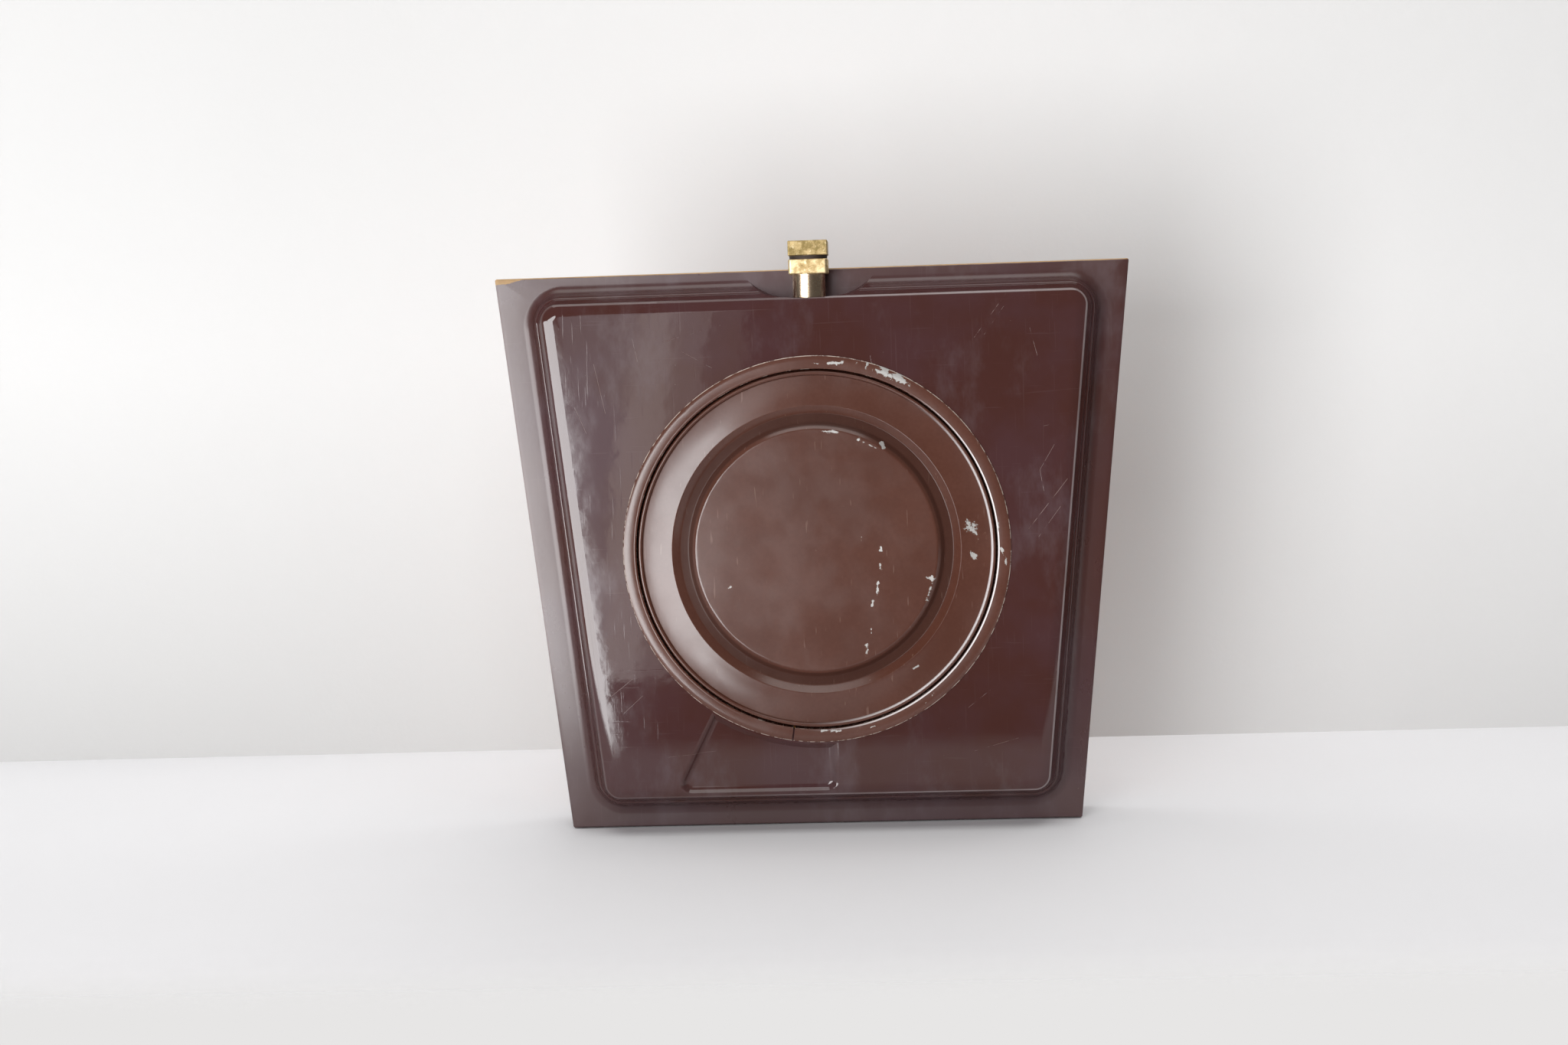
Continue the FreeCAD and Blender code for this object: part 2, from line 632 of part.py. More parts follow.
def filter_springs():
    """Bowed leaf springs on the rear rails, flat at the riveted lower end."""
    y = Y_FLANGE + GROOVE_BACK
    made = []
    for sign, place in spring_places():
        low = V(-SPRING_W / 2, y, -SPRING_L / 2)
        flat = V(-SPRING_W / 2, y, -SPRING_L / 2 + 5.0)
        crown = V(-SPRING_W / 2, y + SPRING_BOW, 5.0)
        tip = V(-SPRING_W / 2, y, SPRING_L / 2)
        lift = V(0, SPRING_T, 0)
        edges = [Part.LineSegment(low, flat).toShape(), Part.Arc(flat, crown, tip).toShape(),
                 Part.LineSegment(tip, tip + lift).toShape(),
                 Part.Arc(tip + lift, crown + lift, flat + lift).toShape(),
                 Part.LineSegment(flat + lift, low + lift).toShape(),
                 Part.LineSegment(low + lift, low).toShape()]
        leaf = Part.Face(Part.Wire(edges)).extrude(V(SPRING_W, 0, 0))
        leaf.rotate(V(0, 0, 0), V(0, 1, 0), side_tilt(sign))
        leaf.translate(place)
        made.append(leaf.cut(rivet(place, sign)))
    return Part.makeCompound(made)


def drill_rail(frame):
    """Rivet holes in the rear rails of the frame."""
    for sign, place in spring_places():
        frame = frame.cut(rivet(place, sign))
    return frame


# ==== filter pack ===========================================================================
def pack_corners(inset):
    """Outline of the filter pack shrunk by inset; its sides are parallel to the guides."""
    side = GROOVE_INSET + FILTER_CLEAR + inset
    return flange_trapezoid(side, FRAME_INSET + inset, side)


def filter_plate(t0, thick):
    return prism(pack_corners(BINDING_T), 1.0, t0, t0 + thick)


def filter_glass_rear():
    return filter_plate(PACK_BACK + BINDING_T, GLASS_T)


def filter_gelatine():
    return filter_plate(PACK_BACK + BINDING_T + GLASS_T, GELATINE_T)


def filter_glass_front():
    return filter_plate(PACK_BACK + BINDING_T + GLASS_T + GELATINE_T, GLASS_T)


def pack_thickness():
    return 2 * BINDING_T + 2 * GLASS_T + GELATINE_T


def filter_binding():
    """Folded tape that binds the three layers along all four edges."""
    t1 = PACK_BACK + pack_thickness()
    wrap = prism(pack_corners(0.0), 1.2, PACK_BACK, t1)
    wrap = wrap.cut(prism(pack_corners(BINDING_T), 1.0, PACK_BACK + BINDING_T, t1 - BINDING_T))
    return wrap.cut(prism(pack_corners(BINDING_W), 3.0, PACK_BACK - 1, t1 + 1))


def filter_top_strip():
    """Folded brass strip over the top edge; its cap closes the slot in the frame."""
    corners = pack_corners(0.0)
    t0 = PACK_BACK - STRIP_T
    t1 = PACK_BACK + pack_thickness() + STRIP_T
    z_top = Z_FLANGE_TOP - FRAME_INSET
    low = z_top - STRIP_H
    half_top = corners[1][0] - 1.0
    half_low = half_top - STRIP_H * 0.11
    plate = Part.makePolygon([V(-half_top, Y_FLANGE + t0, z_top), V(half_top, Y_FLANGE + t0, z_top),
                              V(half_low, Y_FLANGE + t0, low), V(-half_low, Y_FLANGE + t0, low),
                              V(-half_top, Y_FLANGE + t0, z_top)])
    body = Part.Face(plate).extrude(V(0, t1 - t0, 0))
    body = body.cut(prism(corners, 1.2, PACK_BACK, t1 - STRIP_T))
    cap_half = FLANGE_TOP_W / 2 - GROOVE_INSET + 1.0
    cap = ybox((-cap_half, cap_half), (Y_FLANGE + GROOVE_BACK - 1.2, Y_FLANGE + GROOVE_FRONT + 1.0),
               (z_top, z_top + STRIP_CAP_T))
    return fused([body, cap])


# ==== rear cover ============================================================================
def port_axis_point(h):
    return V(0, Y_FLANGE - h, Z_PORT)


def revolve_port(profile):
    """Revolve (radius, height above the flange) points about the port's axis."""
    return revolve(profile, port_axis_point(0.0), V(0, -1, 0))


def ring_profile():
    top = PANEL_PLANE_H
    bead = arc_points(RING_INNER_R + RING_BEAD, top + 0.35, RING_BEAD, 180, 60, 5)
    return ([(RING_INNER_R, RING_FOOT_H + RING_SHEET)] + bead +
            [(RING_OUTER_R - 2.0, top + 1.25), (RING_OUTER_R - 0.35, top + 0.75),
             (RING_OUTER_R, top + 0.35), (RING_OUTER_R, top), (PORT_R, top),
             (PORT_R, RING_FOOT_H), (RING_INNER_R - 4.4, RING_FOOT_H),
             (RING_INNER_R - 4.4, RING_FOOT_H + RING_SHEET)])


def cover_ring():
    ring = revolve_port(ring_profile())
    tab_h = INNER_FLAT_H
    tabs = []
    for k in range(6):
        tab = ybox((-5.0, 5.0), (Y_FLANGE - tab_h, Y_FLANGE - tab_h + RING_SHEET),
                   (Z_PORT + PORT_R - 0.3, Z_PORT + PORT_R + 3.4))
        tab.rotate(port_axis_point(0.0), V(0, 1, 0), 30 + 60 * k)
        tabs.append(tab)
    ring = fused([ring] + tabs)
    slit = ybox((-RING_SLIT / 2, RING_SLIT / 2), (Y_FLANGE - 25, Y_FLANGE),
                (Z_PORT - 82.0, Z_PORT - 60.0))
    slit.rotate(port_axis_point(0.0), V(0, 1, 0), RING_SLIT_ANGLE)
    return ring.cut(slit)


def cover_seal():
    h0 = RING_FOOT_H + RING_SHEET
    return revolve_port([(RING_INNER_R - 3.6, h0), (RING_INNER_R - 0.2, h0),
                         (RING_INNER_R - 0.2, h0 + 0.9), (RING_INNER_R - 3.6, h0 + 0.9)])


def lid_slope(start, end, steps):
    """Points of the lid's wide ring: steep beside the channel and level at the rim."""
    points = []
    for k in range(1, steps):
        part = k / steps
        h = end[1] + (start[1] - end[1]) * (1 - part) ** 2
        points.append((start[0] + (end[0] - start[0]) * part, h))
    return points


def lid_outer_profile():
    """Outside of the pressed lid from its centre to the end of its skirt."""
    disc_h = PANEL_PLANE_H + 0.7
    channel_h = PANEL_PLANE_H - 1.9
    crest_h = PANEL_PLANE_H + 0.5
    shoulder = arc_points(DISC_R + 0.4, disc_h - 1.3, 1.3, 90, 35, 4)
    valley_in = arc_points(CHANNEL_IN_R + 0.4, channel_h + 1.2, 1.2, 215, 270, 4)
    valley_out = arc_points(CHANNEL_OUT_R - 0.4, channel_h + LID_FOLD, LID_FOLD, 270, 325, 4)
    crest = arc_points(CREST_R + 0.5, crest_h - LID_FOLD, LID_FOLD, 145, 85, 4)
    bead_h = PANEL_PLANE_H + 0.1
    rim_start = (LID_BEAD_R - 1.4, bead_h - 0.52)
    rim = [rim_start, (LID_BEAD_R - 1.05, bead_h - 0.5)]
    rim += arc_points(LID_BEAD_R, bead_h, LID_BEAD, 180, 0, 8)
    fit_r = RING_INNER_R - RUNNING_GAP
    skirt = [(LID_SKIRT_R, RING_FOOT_H + 5.0), ((LID_SKIRT_R + fit_r) / 2, RING_FOOT_H + 4.5),
             (fit_r, RING_FOOT_H + 3.6), (fit_r, RING_FOOT_H + 3.0),
             (LID_SKIRT_R + 0.3, RING_FOOT_H + 2.0)]
    slope = lid_slope(crest[-1], rim_start, 6)
    return [(0.0, disc_h)] + shoulder + valley_in + valley_out + crest + slope + rim + skirt


def lid_inner_profile():
    """Inside of the lid, listed back to the centre."""
    disc_h = PANEL_PLANE_H + 0.7 - LID_SHEET
    channel_h = PANEL_PLANE_H - 1.9 - LID_SHEET
    crest_h = PANEL_PLANE_H + 0.5 - LID_SHEET
    skirt_r = LID_SKIRT_R - LID_SHEET
    fit_r = RING_INNER_R - RUNNING_GAP - LID_SHEET
    rim_end = (LID_BEAD_R - 1.5, PANEL_PLANE_H - 1.25)
    crest_end = (CREST_R + 0.2, crest_h - 0.05)
    slope = lid_slope(crest_end, rim_end, 6)
    slope.reverse()
    skirt = [(LID_SKIRT_R - 0.5, RING_FOOT_H + 2.0), (fit_r, RING_FOOT_H + 3.1),
             (fit_r, RING_FOOT_H + 3.5), (skirt_r, RING_FOOT_H + 4.8),
             (skirt_r, PANEL_PLANE_H - 0.8), (LID_BEAD_R - 0.5, PANEL_PLANE_H - 1.2)]
    fold = [(CREST_R - 0.8, crest_h - 0.6), (CHANNEL_OUT_R + 0.5, channel_h + 0.2),
            (CHANNEL_OUT_R - 0.6, channel_h), (CHANNEL_IN_R + 0.6, channel_h),
            (CHANNEL_IN_R - 0.5, channel_h + 0.2), (DISC_R + 0.8, disc_h - 0.6),
            (DISC_R - 0.2, disc_h), (0.0, disc_h)]
    return skirt + [rim_end] + slope + [crest_end] + fold


def cover_lid():
    return revolve_port(lid_outer_profile() + lid_inner_profile())


# ==== lamp bracket and holder ===============================================================
def lamp_bracket():
    half = BRACKET_W / 2
    z0 = Z_PAD - BRACKET_T
    z1 = Z_HOLDER
    upper = ybox((-half, half), (-6.4, BRACKET_WEB_Y + BRACKET_T), (z0, Z_PAD))
    web = ybox((-half, half), (BRACKET_WEB_Y, BRACKET_WEB_Y + BRACKET_T), (z1, Z_PAD))
    lower = ybox((-half, half), (0.0, BRACKET_WEB_Y + BRACKET_T), (z1, z1 + BRACKET_T))
    body = fused([upper, web, lower])
    outer_y = BRACKET_WEB_Y + BRACKET_T
    bends = [e for e in body.Edges if abs(e.BoundBox.YMin - outer_y) < 0.01
             and e.BoundBox.XLength > half and (abs(e.BoundBox.ZMin - Z_PAD) < 0.01
                                                or abs(e.BoundBox.ZMin - z1) < 0.01)]
    body = body.makeFillet(2.4, bends)
    inner = [e for e in body.Edges if abs(e.BoundBox.YMin - BRACKET_WEB_Y) < 0.01
             and abs(e.BoundBox.YMax - BRACKET_WEB_Y) < 0.01 and e.BoundBox.XLength > half]
    body = body.makeFillet(0.9, inner)
    body = body.cut(zcyl(NIPPLE_HOLE_R, z0 - 1, Z_PAD + 1))
    return body.cut(zcyl(NIPPLE_HOLE_R, z1 - 1, z1 + BRACKET_T + 1, 0.0, Y_LAMP))


def holder_neck_nut():
    z0 = Z_HOLDER + BRACKET_T
    return hex_nut(13.0, NIPPLE_R, z0, z0 + 3.5, 0.0, Y_LAMP)


def at_lamp(profile):
    """Revolve (radius, depth below the bracket) points about the lamp's axis."""
    return revolve([(r, -d) for r, d in profile], V(0, Y_LAMP, Z_HOLDER), V(0, 0, 1))


def holder_cap():
    shoulder = arc_points(HOLDER_R - 4.0, 4.0, 4.0, -90, 0, 5)
    grip = [(HOLDER_R, CAP_H)]
    inside = [(HOLDER_R - 2.0, CAP_H), (HOLDER_R - 2.0, 4.5), (HOLDER_R - 4.0, 3.0), (3.6, 3.0)]
    neck = [(3.6, -6.4), (NIPPLE_R, -6.4), (NIPPLE_R, 0.0)]
    cap = at_lamp(neck + shoulder + grip + inside)
    slot = ybox((-HOLDER_R - 1, -HOLDER_R + 4), (Y_LAMP - 3.0, Y_LAMP + 6.0),
                (Z_HOLDER - 7.8, Z_HOLDER - 4.2))
    return cap.cut(slot)


def holder_skirt():
    d0 = CAP_H
    d1 = CAP_H + SKIRT_H
    skirt = at_lamp([(SHELL_R + 0.1, d0), (HOLDER_R, d0), (HOLDER_R, d0 + 3.0), (HOLDER_R - 0.8, d0 + 3.6),
                     (HOLDER_R - 1.4, d1 - 1.5), (HOLDER_R - 2.4, d1), (SHELL_R + 1.6, d1),
                     (SHELL_R + 1.2, d1 - 1.0), (SHELL_R + 1.2, d0 + 2.0), (SHELL_R + 0.1, d0 + 2.0)])
    ribs = []
    for k in range(24):
        rib = zcyl(0.45, Z_HOLDER - d0 - 2.9, Z_HOLDER - d0 - 0.1, HOLDER_R + 0.1, 0.0)
        rib.rotate(V(0, 0, 0), V(0, 0, 1), 15 * k)
        rib.translate(V(0, Y_LAMP, 0))
        ribs.append(rib)
    return skirt.cut(Part.makeCompound(ribs))


def holder_core():
    d1 = CAP_H
    core = at_lamp([(0.0, d1 - CORE_T), (CORE_R, d1 - CORE_T), (CORE_R, d1), (0.0, d1)])
    for x in (-6.5, 6.5):
        core = core.cut(zcyl(1.5, Z_HOLDER - d1 + 0.8, Z_HOLDER - d1 + CORE_T + 1, x, Y_LAMP))
    return core


def holder_thread_shell():
    """Screw shell with rounded thread waves."""
    d0 = CAP_H
    inside = LAMP_THREAD_R + 0.06
    outer = [(SHELL_R, d0), (SHELL_R, d0 + 17.0)]
    inner = [(inside, d0 + 17.0), (inside, d0 + 0.4), (4.0, d0 + 0.4), (4.0, d0)]
    return at_lamp(outer + inner)


def holder_centre_contact():
    """Springy centre tongue: a foot on the porcelain and a raised tip."""
    z0 = Z_HOLDER - CAP_H
    foot = ybox((-3.6, 0.0), (Y_LAMP - 1.5, Y_LAMP + 1.5), (z0 - 0.4, z0))
    tip = ybox((-0.4, 2.2), (Y_LAMP - 1.5, Y_LAMP + 1.5), (z0 - 0.9, z0 - 0.1))
    return fused([foot, tip])


def cheese_screw(head_r, head_t, shank_r, length, base, axis):
    """Slotted cheese-head screw: base is the underside of the head, axis points out of the head."""
    head = Part.makeCylinder(head_r, head_t, base, axis)
    shank = Part.makeCylinder(shank_r, length, base, axis * -1)
    side = V(1, 0, 0) if abs(axis.x) < 0.5 else V(0, 1, 0)
    other = axis.cross(side)
    low = base + axis * (head_t * 0.55) - side * (head_r * 1.5) - other * (head_r * 0.14)
    corners = [low, low + side * (head_r * 3), low + side * (head_r * 3) + other * (head_r * 0.28),
               low + other * (head_r * 0.28), low]
    slot = Part.Face(Part.makePolygon(corners)).extrude(axis * head_t)
    return fused([head, shank]).cut(slot)


def holder_terminal_screws():
    z = Z_HOLDER - CAP_H + CORE_T
    return Part.makeCompound([cheese_screw(2.4, 1.5, 1.5, 4.6, V(x, Y_LAMP, z), V(0, 0, 1))
                              for x in (-6.5, 6.5)])


# ==== bulb ==================================================================================
BULB_TIP = CAP_H + 0.95      # depth of the bulb's centre contact below the bracket
BULB_CAP_TOP = BULB_TIP + 1.9
BULB_CAP_END = BULB_TIP + 17.5
BULB_END = BULB_TIP + 58.0


def bulb_centre_contact():
    return at_lamp([(0.0, BULB_TIP), (1.6, BULB_TIP), (2.1, BULB_TIP + 0.5), (2.1, BULB_TIP + 0.9),
                    (0.0, BULB_TIP + 0.9)])


def bulb_cap_insulator():
    return at_lamp([(0.0, BULB_TIP + 0.9), (3.0, BULB_TIP + 0.9), (5.6, BULB_CAP_TOP),
                    (0.0, BULB_CAP_TOP)])


def bulb_cap():
    """Threaded cap drawn as a shell with rounded thread waves."""
    outer = []
    turns = 5
    pitch = 2.82
    for k in range(turns * 8 + 1):
        wave = math.cos(2 * math.pi * k / 8)
        outer.append((LAMP_THREAD_R - 0.3 + 0.3 * wave, BULB_CAP_TOP + 0.8 + pitch * k / 8))
    outer = [(5.6, BULB_CAP_TOP)] + outer + [(LAMP_THREAD_R, BULB_CAP_END)]
    inner = [(5.9, BULB_CAP_END), (5.9, BULB_CAP_TOP + 0.6), (0.0, BULB_CAP_TOP + 0.6),
             (0.0, BULB_CAP_TOP)]
    return at_lamp(outer + inner)


def bulb_outline(shrink):
    """Half section of the envelope from the neck to the tip."""
    r = BULB_R - shrink
    centre = BULB_END - BULB_R
    neck_r = 6.6 - shrink
    side = []
    for k in range(7):
        part = k / 6
        ease = part * part * (3 - 2 * part)
        side.append((neck_r + (r - neck_r) * ease, BULB_CAP_END + 1.0 + 17.0 * part))
    end = arc_points(0.0, centre, r, 0, 90, 10)
    end[-1] = (0.0, centre + r)
    return [(neck_r, BULB_CAP_END)] + side + end


def bulb_glass():
    outer = bulb_outline(0.0)
    inner = bulb_outline(BULB_GLASS_T)
    inner.reverse()
    return at_lamp(outer + inner)


def bulb_stem_glass():
    d0 = BULB_CAP_END
    return at_lamp([(0.0, d0 - 6.0), (5.0, d0 - 6.0), (4.4, d0), (2.0, d0 + 8.0), (1.2, d0 + 18.0),
                    (0.0, d0 + 18.0)])


def bulb_support_wires():
    """Four stiff wires that spread from the glass stem to the filament ring."""
    z0 = Z_HOLDER - BULB_CAP_END - 16.0
    z1 = Z_HOLDER - BULB_CAP_END - 26.0
    made = []
    for k in range(4):
        angle = math.radians(45 + 90 * k)
        ex = math.cos(angle)
        ey = math.sin(angle)
        low = V(0.6 * ex, Y_LAMP + 0.6 * ey, z0 - 2.2)
        high = V(7.0 * ex, Y_LAMP + 7.0 * ey, z1)
        made.append(Part.makeCylinder(0.25, (high - low).Length, low, high - low))
    core = zcyl(0.9, z0 - 2.8, z0 - 2.0, 0.0, Y_LAMP)
    return fused([core] + made)


def bulb_filament():
    """Zigzag ring of wire held between the support wires."""
    z = Z_HOLDER - BULB_CAP_END - 26.0
    ring = Part.makeTorus(7.0, 0.2, V(0, Y_LAMP, z - 0.45), V(0, 0, 1))
    gap = ybox((-1.2, 1.2), (Y_LAMP - 9, Y_LAMP), (z - 2, z + 2))
    return ring.cut(gap)


# ==== terminal block and leads ==============================================================
def terminal_block():
    x0, x1 = TB_X
    y0, y1 = TB_Y
    z0, z1 = TB_Z
    body = ybox((x0, x1), (y0, y1), (z0, z1))
    body = body.makeFillet(1.5, [e for e in body.Edges if e.BoundBox.YLength > 5])
    rim = [e for e in body.Edges if abs(e.BoundBox.YMin - y1) < 0.01]
    body = body.makeFillet(0.8, rim)
    for x in TB_TUBE_X:
        body = body.cut(zcyl(TB_TUBE_R, z0 - 1, z1 + 1, x, TB_TUBE_Y))
        for z in (z0 + 3.5, z1 - 3.5):
            body = body.cut(ycyl(2.0, TB_TUBE_Y, y1 + 1, x, z))
    mid_x = (x0 + x1) / 2
    mid_z = (z0 + z1) / 2
    body = body.cut(ycyl(1.75, y0 - 1, y1 + 1, mid_x, mid_z))
    return body.cut(ycyl(3.2, y1 - 3.0, y1 + 1, mid_x, mid_z))


def terminal_tubes():
    z0, z1 = TB_Z
    made = []
    for x in TB_TUBE_X:
        tube = zcyl(TB_TUBE_R, z0 + 0.8, z1 - 0.8, x, TB_TUBE_Y)
        tube = tube.cut(zcyl(TB_BORE_R, z0 - 1, z1 + 1, x, TB_TUBE_Y))
        for z in (z0 + 3.5, z1 - 3.5):
            tube = tube.cut(ycyl(1.2, TB_TUBE_Y, TB_TUBE_Y + 4, x, z))
        made.append(tube)
    return Part.makeCompound(made)


def terminal_screws():
    z0, z1 = TB_Z
    made = []
    for x in TB_TUBE_X:
        for z in (z0 + 3.5, z1 - 3.5):
            base = V(x, TB_TUBE_Y + TB_TUBE_R + 0.4, z)
            made.append(cheese_screw(1.8, 1.4, 1.2, 1.55, base, V(0, 1, 0)))
    return Part.makeCompound(made)


def terminal_block_screw():
    mid_x = (TB_X[0] + TB_X[1]) / 2
    mid_z = (TB_Z[0] + TB_Z[1]) / 2
    base = V(mid_x, TB_Y[1] - 3.0, mid_z)
    return cheese_screw(2.9, 1.8, 1.5, 12.4, base, V(0, 1, 0))


def lead_to_holder(tube_x, drop, end_x, end_y):
    """Insulated lead from a terminal tube, through the cap's side slot, to a holder screw."""
    z_tube = TB_Z[0] + 2.0
    z_run = Z_HOLDER - 6.0
    start = V(tube_x, TB_TUBE_Y, z_tube)
    points = [start, V(tube_x, TB_TUBE_Y, z_tube - 2.0 - drop),
              V(tube_x + 7.0, TB_TUBE_Y + 1.5, z_tube - 8.0 - drop),
              V(-19.0, end_y, z_run), V(end_x, end_y, z_run)]
    return rod(points, LEAD_R, 2.4)


def lead_live():
    return lead_to_holder(TB_TUBE_X[1], 2.0, -9.4, Y_LAMP - 0.2)


def lead_neutral():
    return lead_to_holder(TB_TUBE_X[0], 5.5, 3.8, Y_LAMP + 4.2)


# ==== write the parts =======================================================================
PARTS = {
    "knuckle_upper": knuckle_upper,
    "swivel_washer": swivel_washer,
    "swivel_collar": swivel_collar,
    "knuckle_lower": knuckle_lower,
    "swivel_stop_pin": swivel_stop_pin,
    "swivel_spring_washer": swivel_spring_washer,
    "stem_tube": stem_tube,
    "stem_nipple": stem_nipple,
    "stem_lock_washer": stem_lock_washer,
    "stem_nut": stem_nut,
    "earth_tag": earth_tag,
    "rear_housing": rear_housing,
    "frame_inserts": frame_inserts,
    "frame_screws": frame_screws,
    "flange_gasket": flange_gasket,
    "front_frame": lambda: drill_rail(front_frame()),
    "window_seal": window_seal,
    "filter_springs": filter_springs,
    "spring_rivets": spring_rivets,
    "filter_glass_front": filter_glass_front,
    "filter_gelatine": filter_gelatine,
    "filter_glass_rear": filter_glass_rear,
    "filter_binding": filter_binding,
    "filter_top_strip": filter_top_strip,
    "cover_ring": cover_ring,
    "cover_seal": cover_seal,
    "cover_lid": cover_lid,
    "lamp_bracket": lamp_bracket,
    "holder_neck_nut": holder_neck_nut,
    "holder_cap": holder_cap,
    "holder_skirt": holder_skirt,
    "holder_core": holder_core,
    "holder_thread_shell": holder_thread_shell,
    "holder_centre_contact": holder_centre_contact,
    "holder_terminal_screws": holder_terminal_screws,
    "bulb_glass": bulb_glass,
    "bulb_cap": bulb_cap,
    "bulb_cap_insulator": bulb_cap_insulator,
    "bulb_centre_contact": bulb_centre_contact,
    "bulb_stem_glass": bulb_stem_glass,
    "bulb_support_wires": bulb_support_wires,
    "bulb_filament": bulb_filament,
    "terminal_block": terminal_block,
    "terminal_tubes": terminal_tubes,
    "terminal_screws": terminal_screws,
    "terminal_block_screw": terminal_block_screw,
    "lead_live": lead_live,
    "lead_neutral": lead_neutral,
}


def main():
    os.makedirs("parts", exist_ok=True)
    for name, make in PARTS.items():
        shape = make()
        box = shape.BoundBox
        state = "ok" if shape.isValid() and shape.Volume > 0 else "BAD"
        print(f"{name:24s} {state} solids {len(shape.Solids)} volume {shape.Volume:10.1f} "
              f"x {box.XMin:7.2f} {box.XMax:7.2f} y {box.YMin:7.2f} {box.YMax:7.2f} "
              f"z {box.ZMin:7.2f} {box.ZMax:7.2f}")
        shape.exportStep(os.path.join("parts", name + ".step"))


main()
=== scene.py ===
import math

import bpy
from mathutils import Matrix, Vector


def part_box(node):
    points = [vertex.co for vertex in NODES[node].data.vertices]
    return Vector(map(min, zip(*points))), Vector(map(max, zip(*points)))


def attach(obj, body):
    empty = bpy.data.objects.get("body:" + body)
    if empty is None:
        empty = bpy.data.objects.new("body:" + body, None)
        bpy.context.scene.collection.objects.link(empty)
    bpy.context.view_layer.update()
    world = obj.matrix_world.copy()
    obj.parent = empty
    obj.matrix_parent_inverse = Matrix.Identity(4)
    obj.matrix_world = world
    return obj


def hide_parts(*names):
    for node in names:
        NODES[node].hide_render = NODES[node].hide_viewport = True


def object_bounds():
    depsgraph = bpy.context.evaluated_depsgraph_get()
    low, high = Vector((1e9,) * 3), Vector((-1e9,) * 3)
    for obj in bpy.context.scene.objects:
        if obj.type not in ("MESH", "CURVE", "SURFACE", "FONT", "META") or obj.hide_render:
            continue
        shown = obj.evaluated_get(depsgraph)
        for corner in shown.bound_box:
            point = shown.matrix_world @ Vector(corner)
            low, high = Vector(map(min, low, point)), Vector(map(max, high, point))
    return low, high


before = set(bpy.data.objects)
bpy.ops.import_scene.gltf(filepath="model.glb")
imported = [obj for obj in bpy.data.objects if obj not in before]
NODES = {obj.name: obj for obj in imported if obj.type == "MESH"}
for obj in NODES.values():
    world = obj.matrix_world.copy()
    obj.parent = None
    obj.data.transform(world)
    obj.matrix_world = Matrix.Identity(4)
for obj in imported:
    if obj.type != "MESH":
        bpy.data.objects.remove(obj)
CAD_LOW, CAD_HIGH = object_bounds()
MM = 0.001

# ---- places taken from the frame -----------------------------------------------------------
HOUSING_LOW, HOUSING_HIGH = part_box("rear_housing")
RING_LOW, RING_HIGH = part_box("cover_ring")
LID_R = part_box("cover_lid")[1].x
BLOCK_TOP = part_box("knuckle_upper")[1].z
PORT = Vector((0.0, 0.0, (RING_LOW.z + RING_HIGH.z) / 2))
RING_R = (RING_HIGH.z - RING_LOW.z) / 2
FLANGE_T = 5 * MM
FLANGE_Y = HOUSING_HIGH.y - FLANGE_T         # rear face of the flange
FLANGE_TOP = HOUSING_HIGH.z
FLANGE_BOTTOM = HOUSING_LOW.z
FLANGE_LEFT = HOUSING_LOW.x
PLATE_CENTRE = Vector((0.0, FLANGE_Y, (FLANGE_TOP + FLANGE_BOTTOM) / 2))
FLOOR_Z = CAD_LOW.z - 0.5 * MM               # the table is just under the lamp

# ---- camera; angles in degrees -------------------------------------------------------------
LENS = 49.83
SENSOR_WIDTH = 36.0
CLIP_NEAR = 0.01
CLIP_FAR = 50.0
CAMERA_DISTANCE = 0.9
CAMERA_AZIMUTH = 2.92
CAMERA_ELEVATION = 4.57
CAMERA_ROLL = 1.84
CAMERA_SIDE = -14.1 * MM
CAMERA_LIFT = 10.8 * MM

# ---- table and wall ------------------------------------------------------------------------
TABLE_HALF = 1.5               # the table top and the wall reach this far to each side
TABLE_FRONT = -0.245
TABLE_FADE = 0.07              # the front edge fades out over this depth
TABLE_DARK = (0.80, 0.80, 0.82)
TABLE_LIGHT = (0.84, 0.84, 0.86)
WALL_Y = 0.195
WALL_HEIGHT = 1.6
WALL_DARK = (0.64, 0.635, 0.63)
WALL_LIGHT = (0.68, 0.675, 0.67)
WALL_SHADE = (0.25, 0.25, 0.24)
WALL_SHADE_X = (0.05, -0.30)   # the wall darkens between these
WALL_SHADE_AMOUNT = 0.14

# ---- light; each brightness is that of the light's face, turns are in degrees --------------
AMBIENT = 0.12
AMBIENT_COLOUR = (1.0, 0.98, 0.96)
BACKGROUND = (0.80, 0.79, 0.785)
LIGHTS_Y = -2.1                # the window wall, behind the camera
WINDOW_LIGHT = 11.0
WINDOW_COLOUR = (0.985, 0.99, 1.0)
WINDOW_TURN = 6.2
CURTAIN_Y = LIGHTS_Y - 0.02
CURTAIN_Z = -0.125
CURTAIN_HEIGHT = 0.75
CURTAIN_TURN = -8.0
CURTAIN_WARM = (1.0, 0.95, 0.93)
CURTAIN_COOL = (0.86, 0.90, 1.0)
# folds of the curtain: x, width, brightness, colour
CURTAINS = [
    (-0.388, 0.100, 1.5, CURTAIN_COOL), (-0.310, 0.055, 2.6, CURTAIN_WARM),
    (-0.257, 0.050, 1.4, CURTAIN_WARM), (-0.207, 0.050, 0.6, CURTAIN_WARM),
]
ROOM_FILL_LIGHT = 4.0
CEILING_LIGHT = 2.2
CEILING_COLOUR = (1.0, 0.99, 0.97)
FRONT_FILL_LIGHT = 1.6


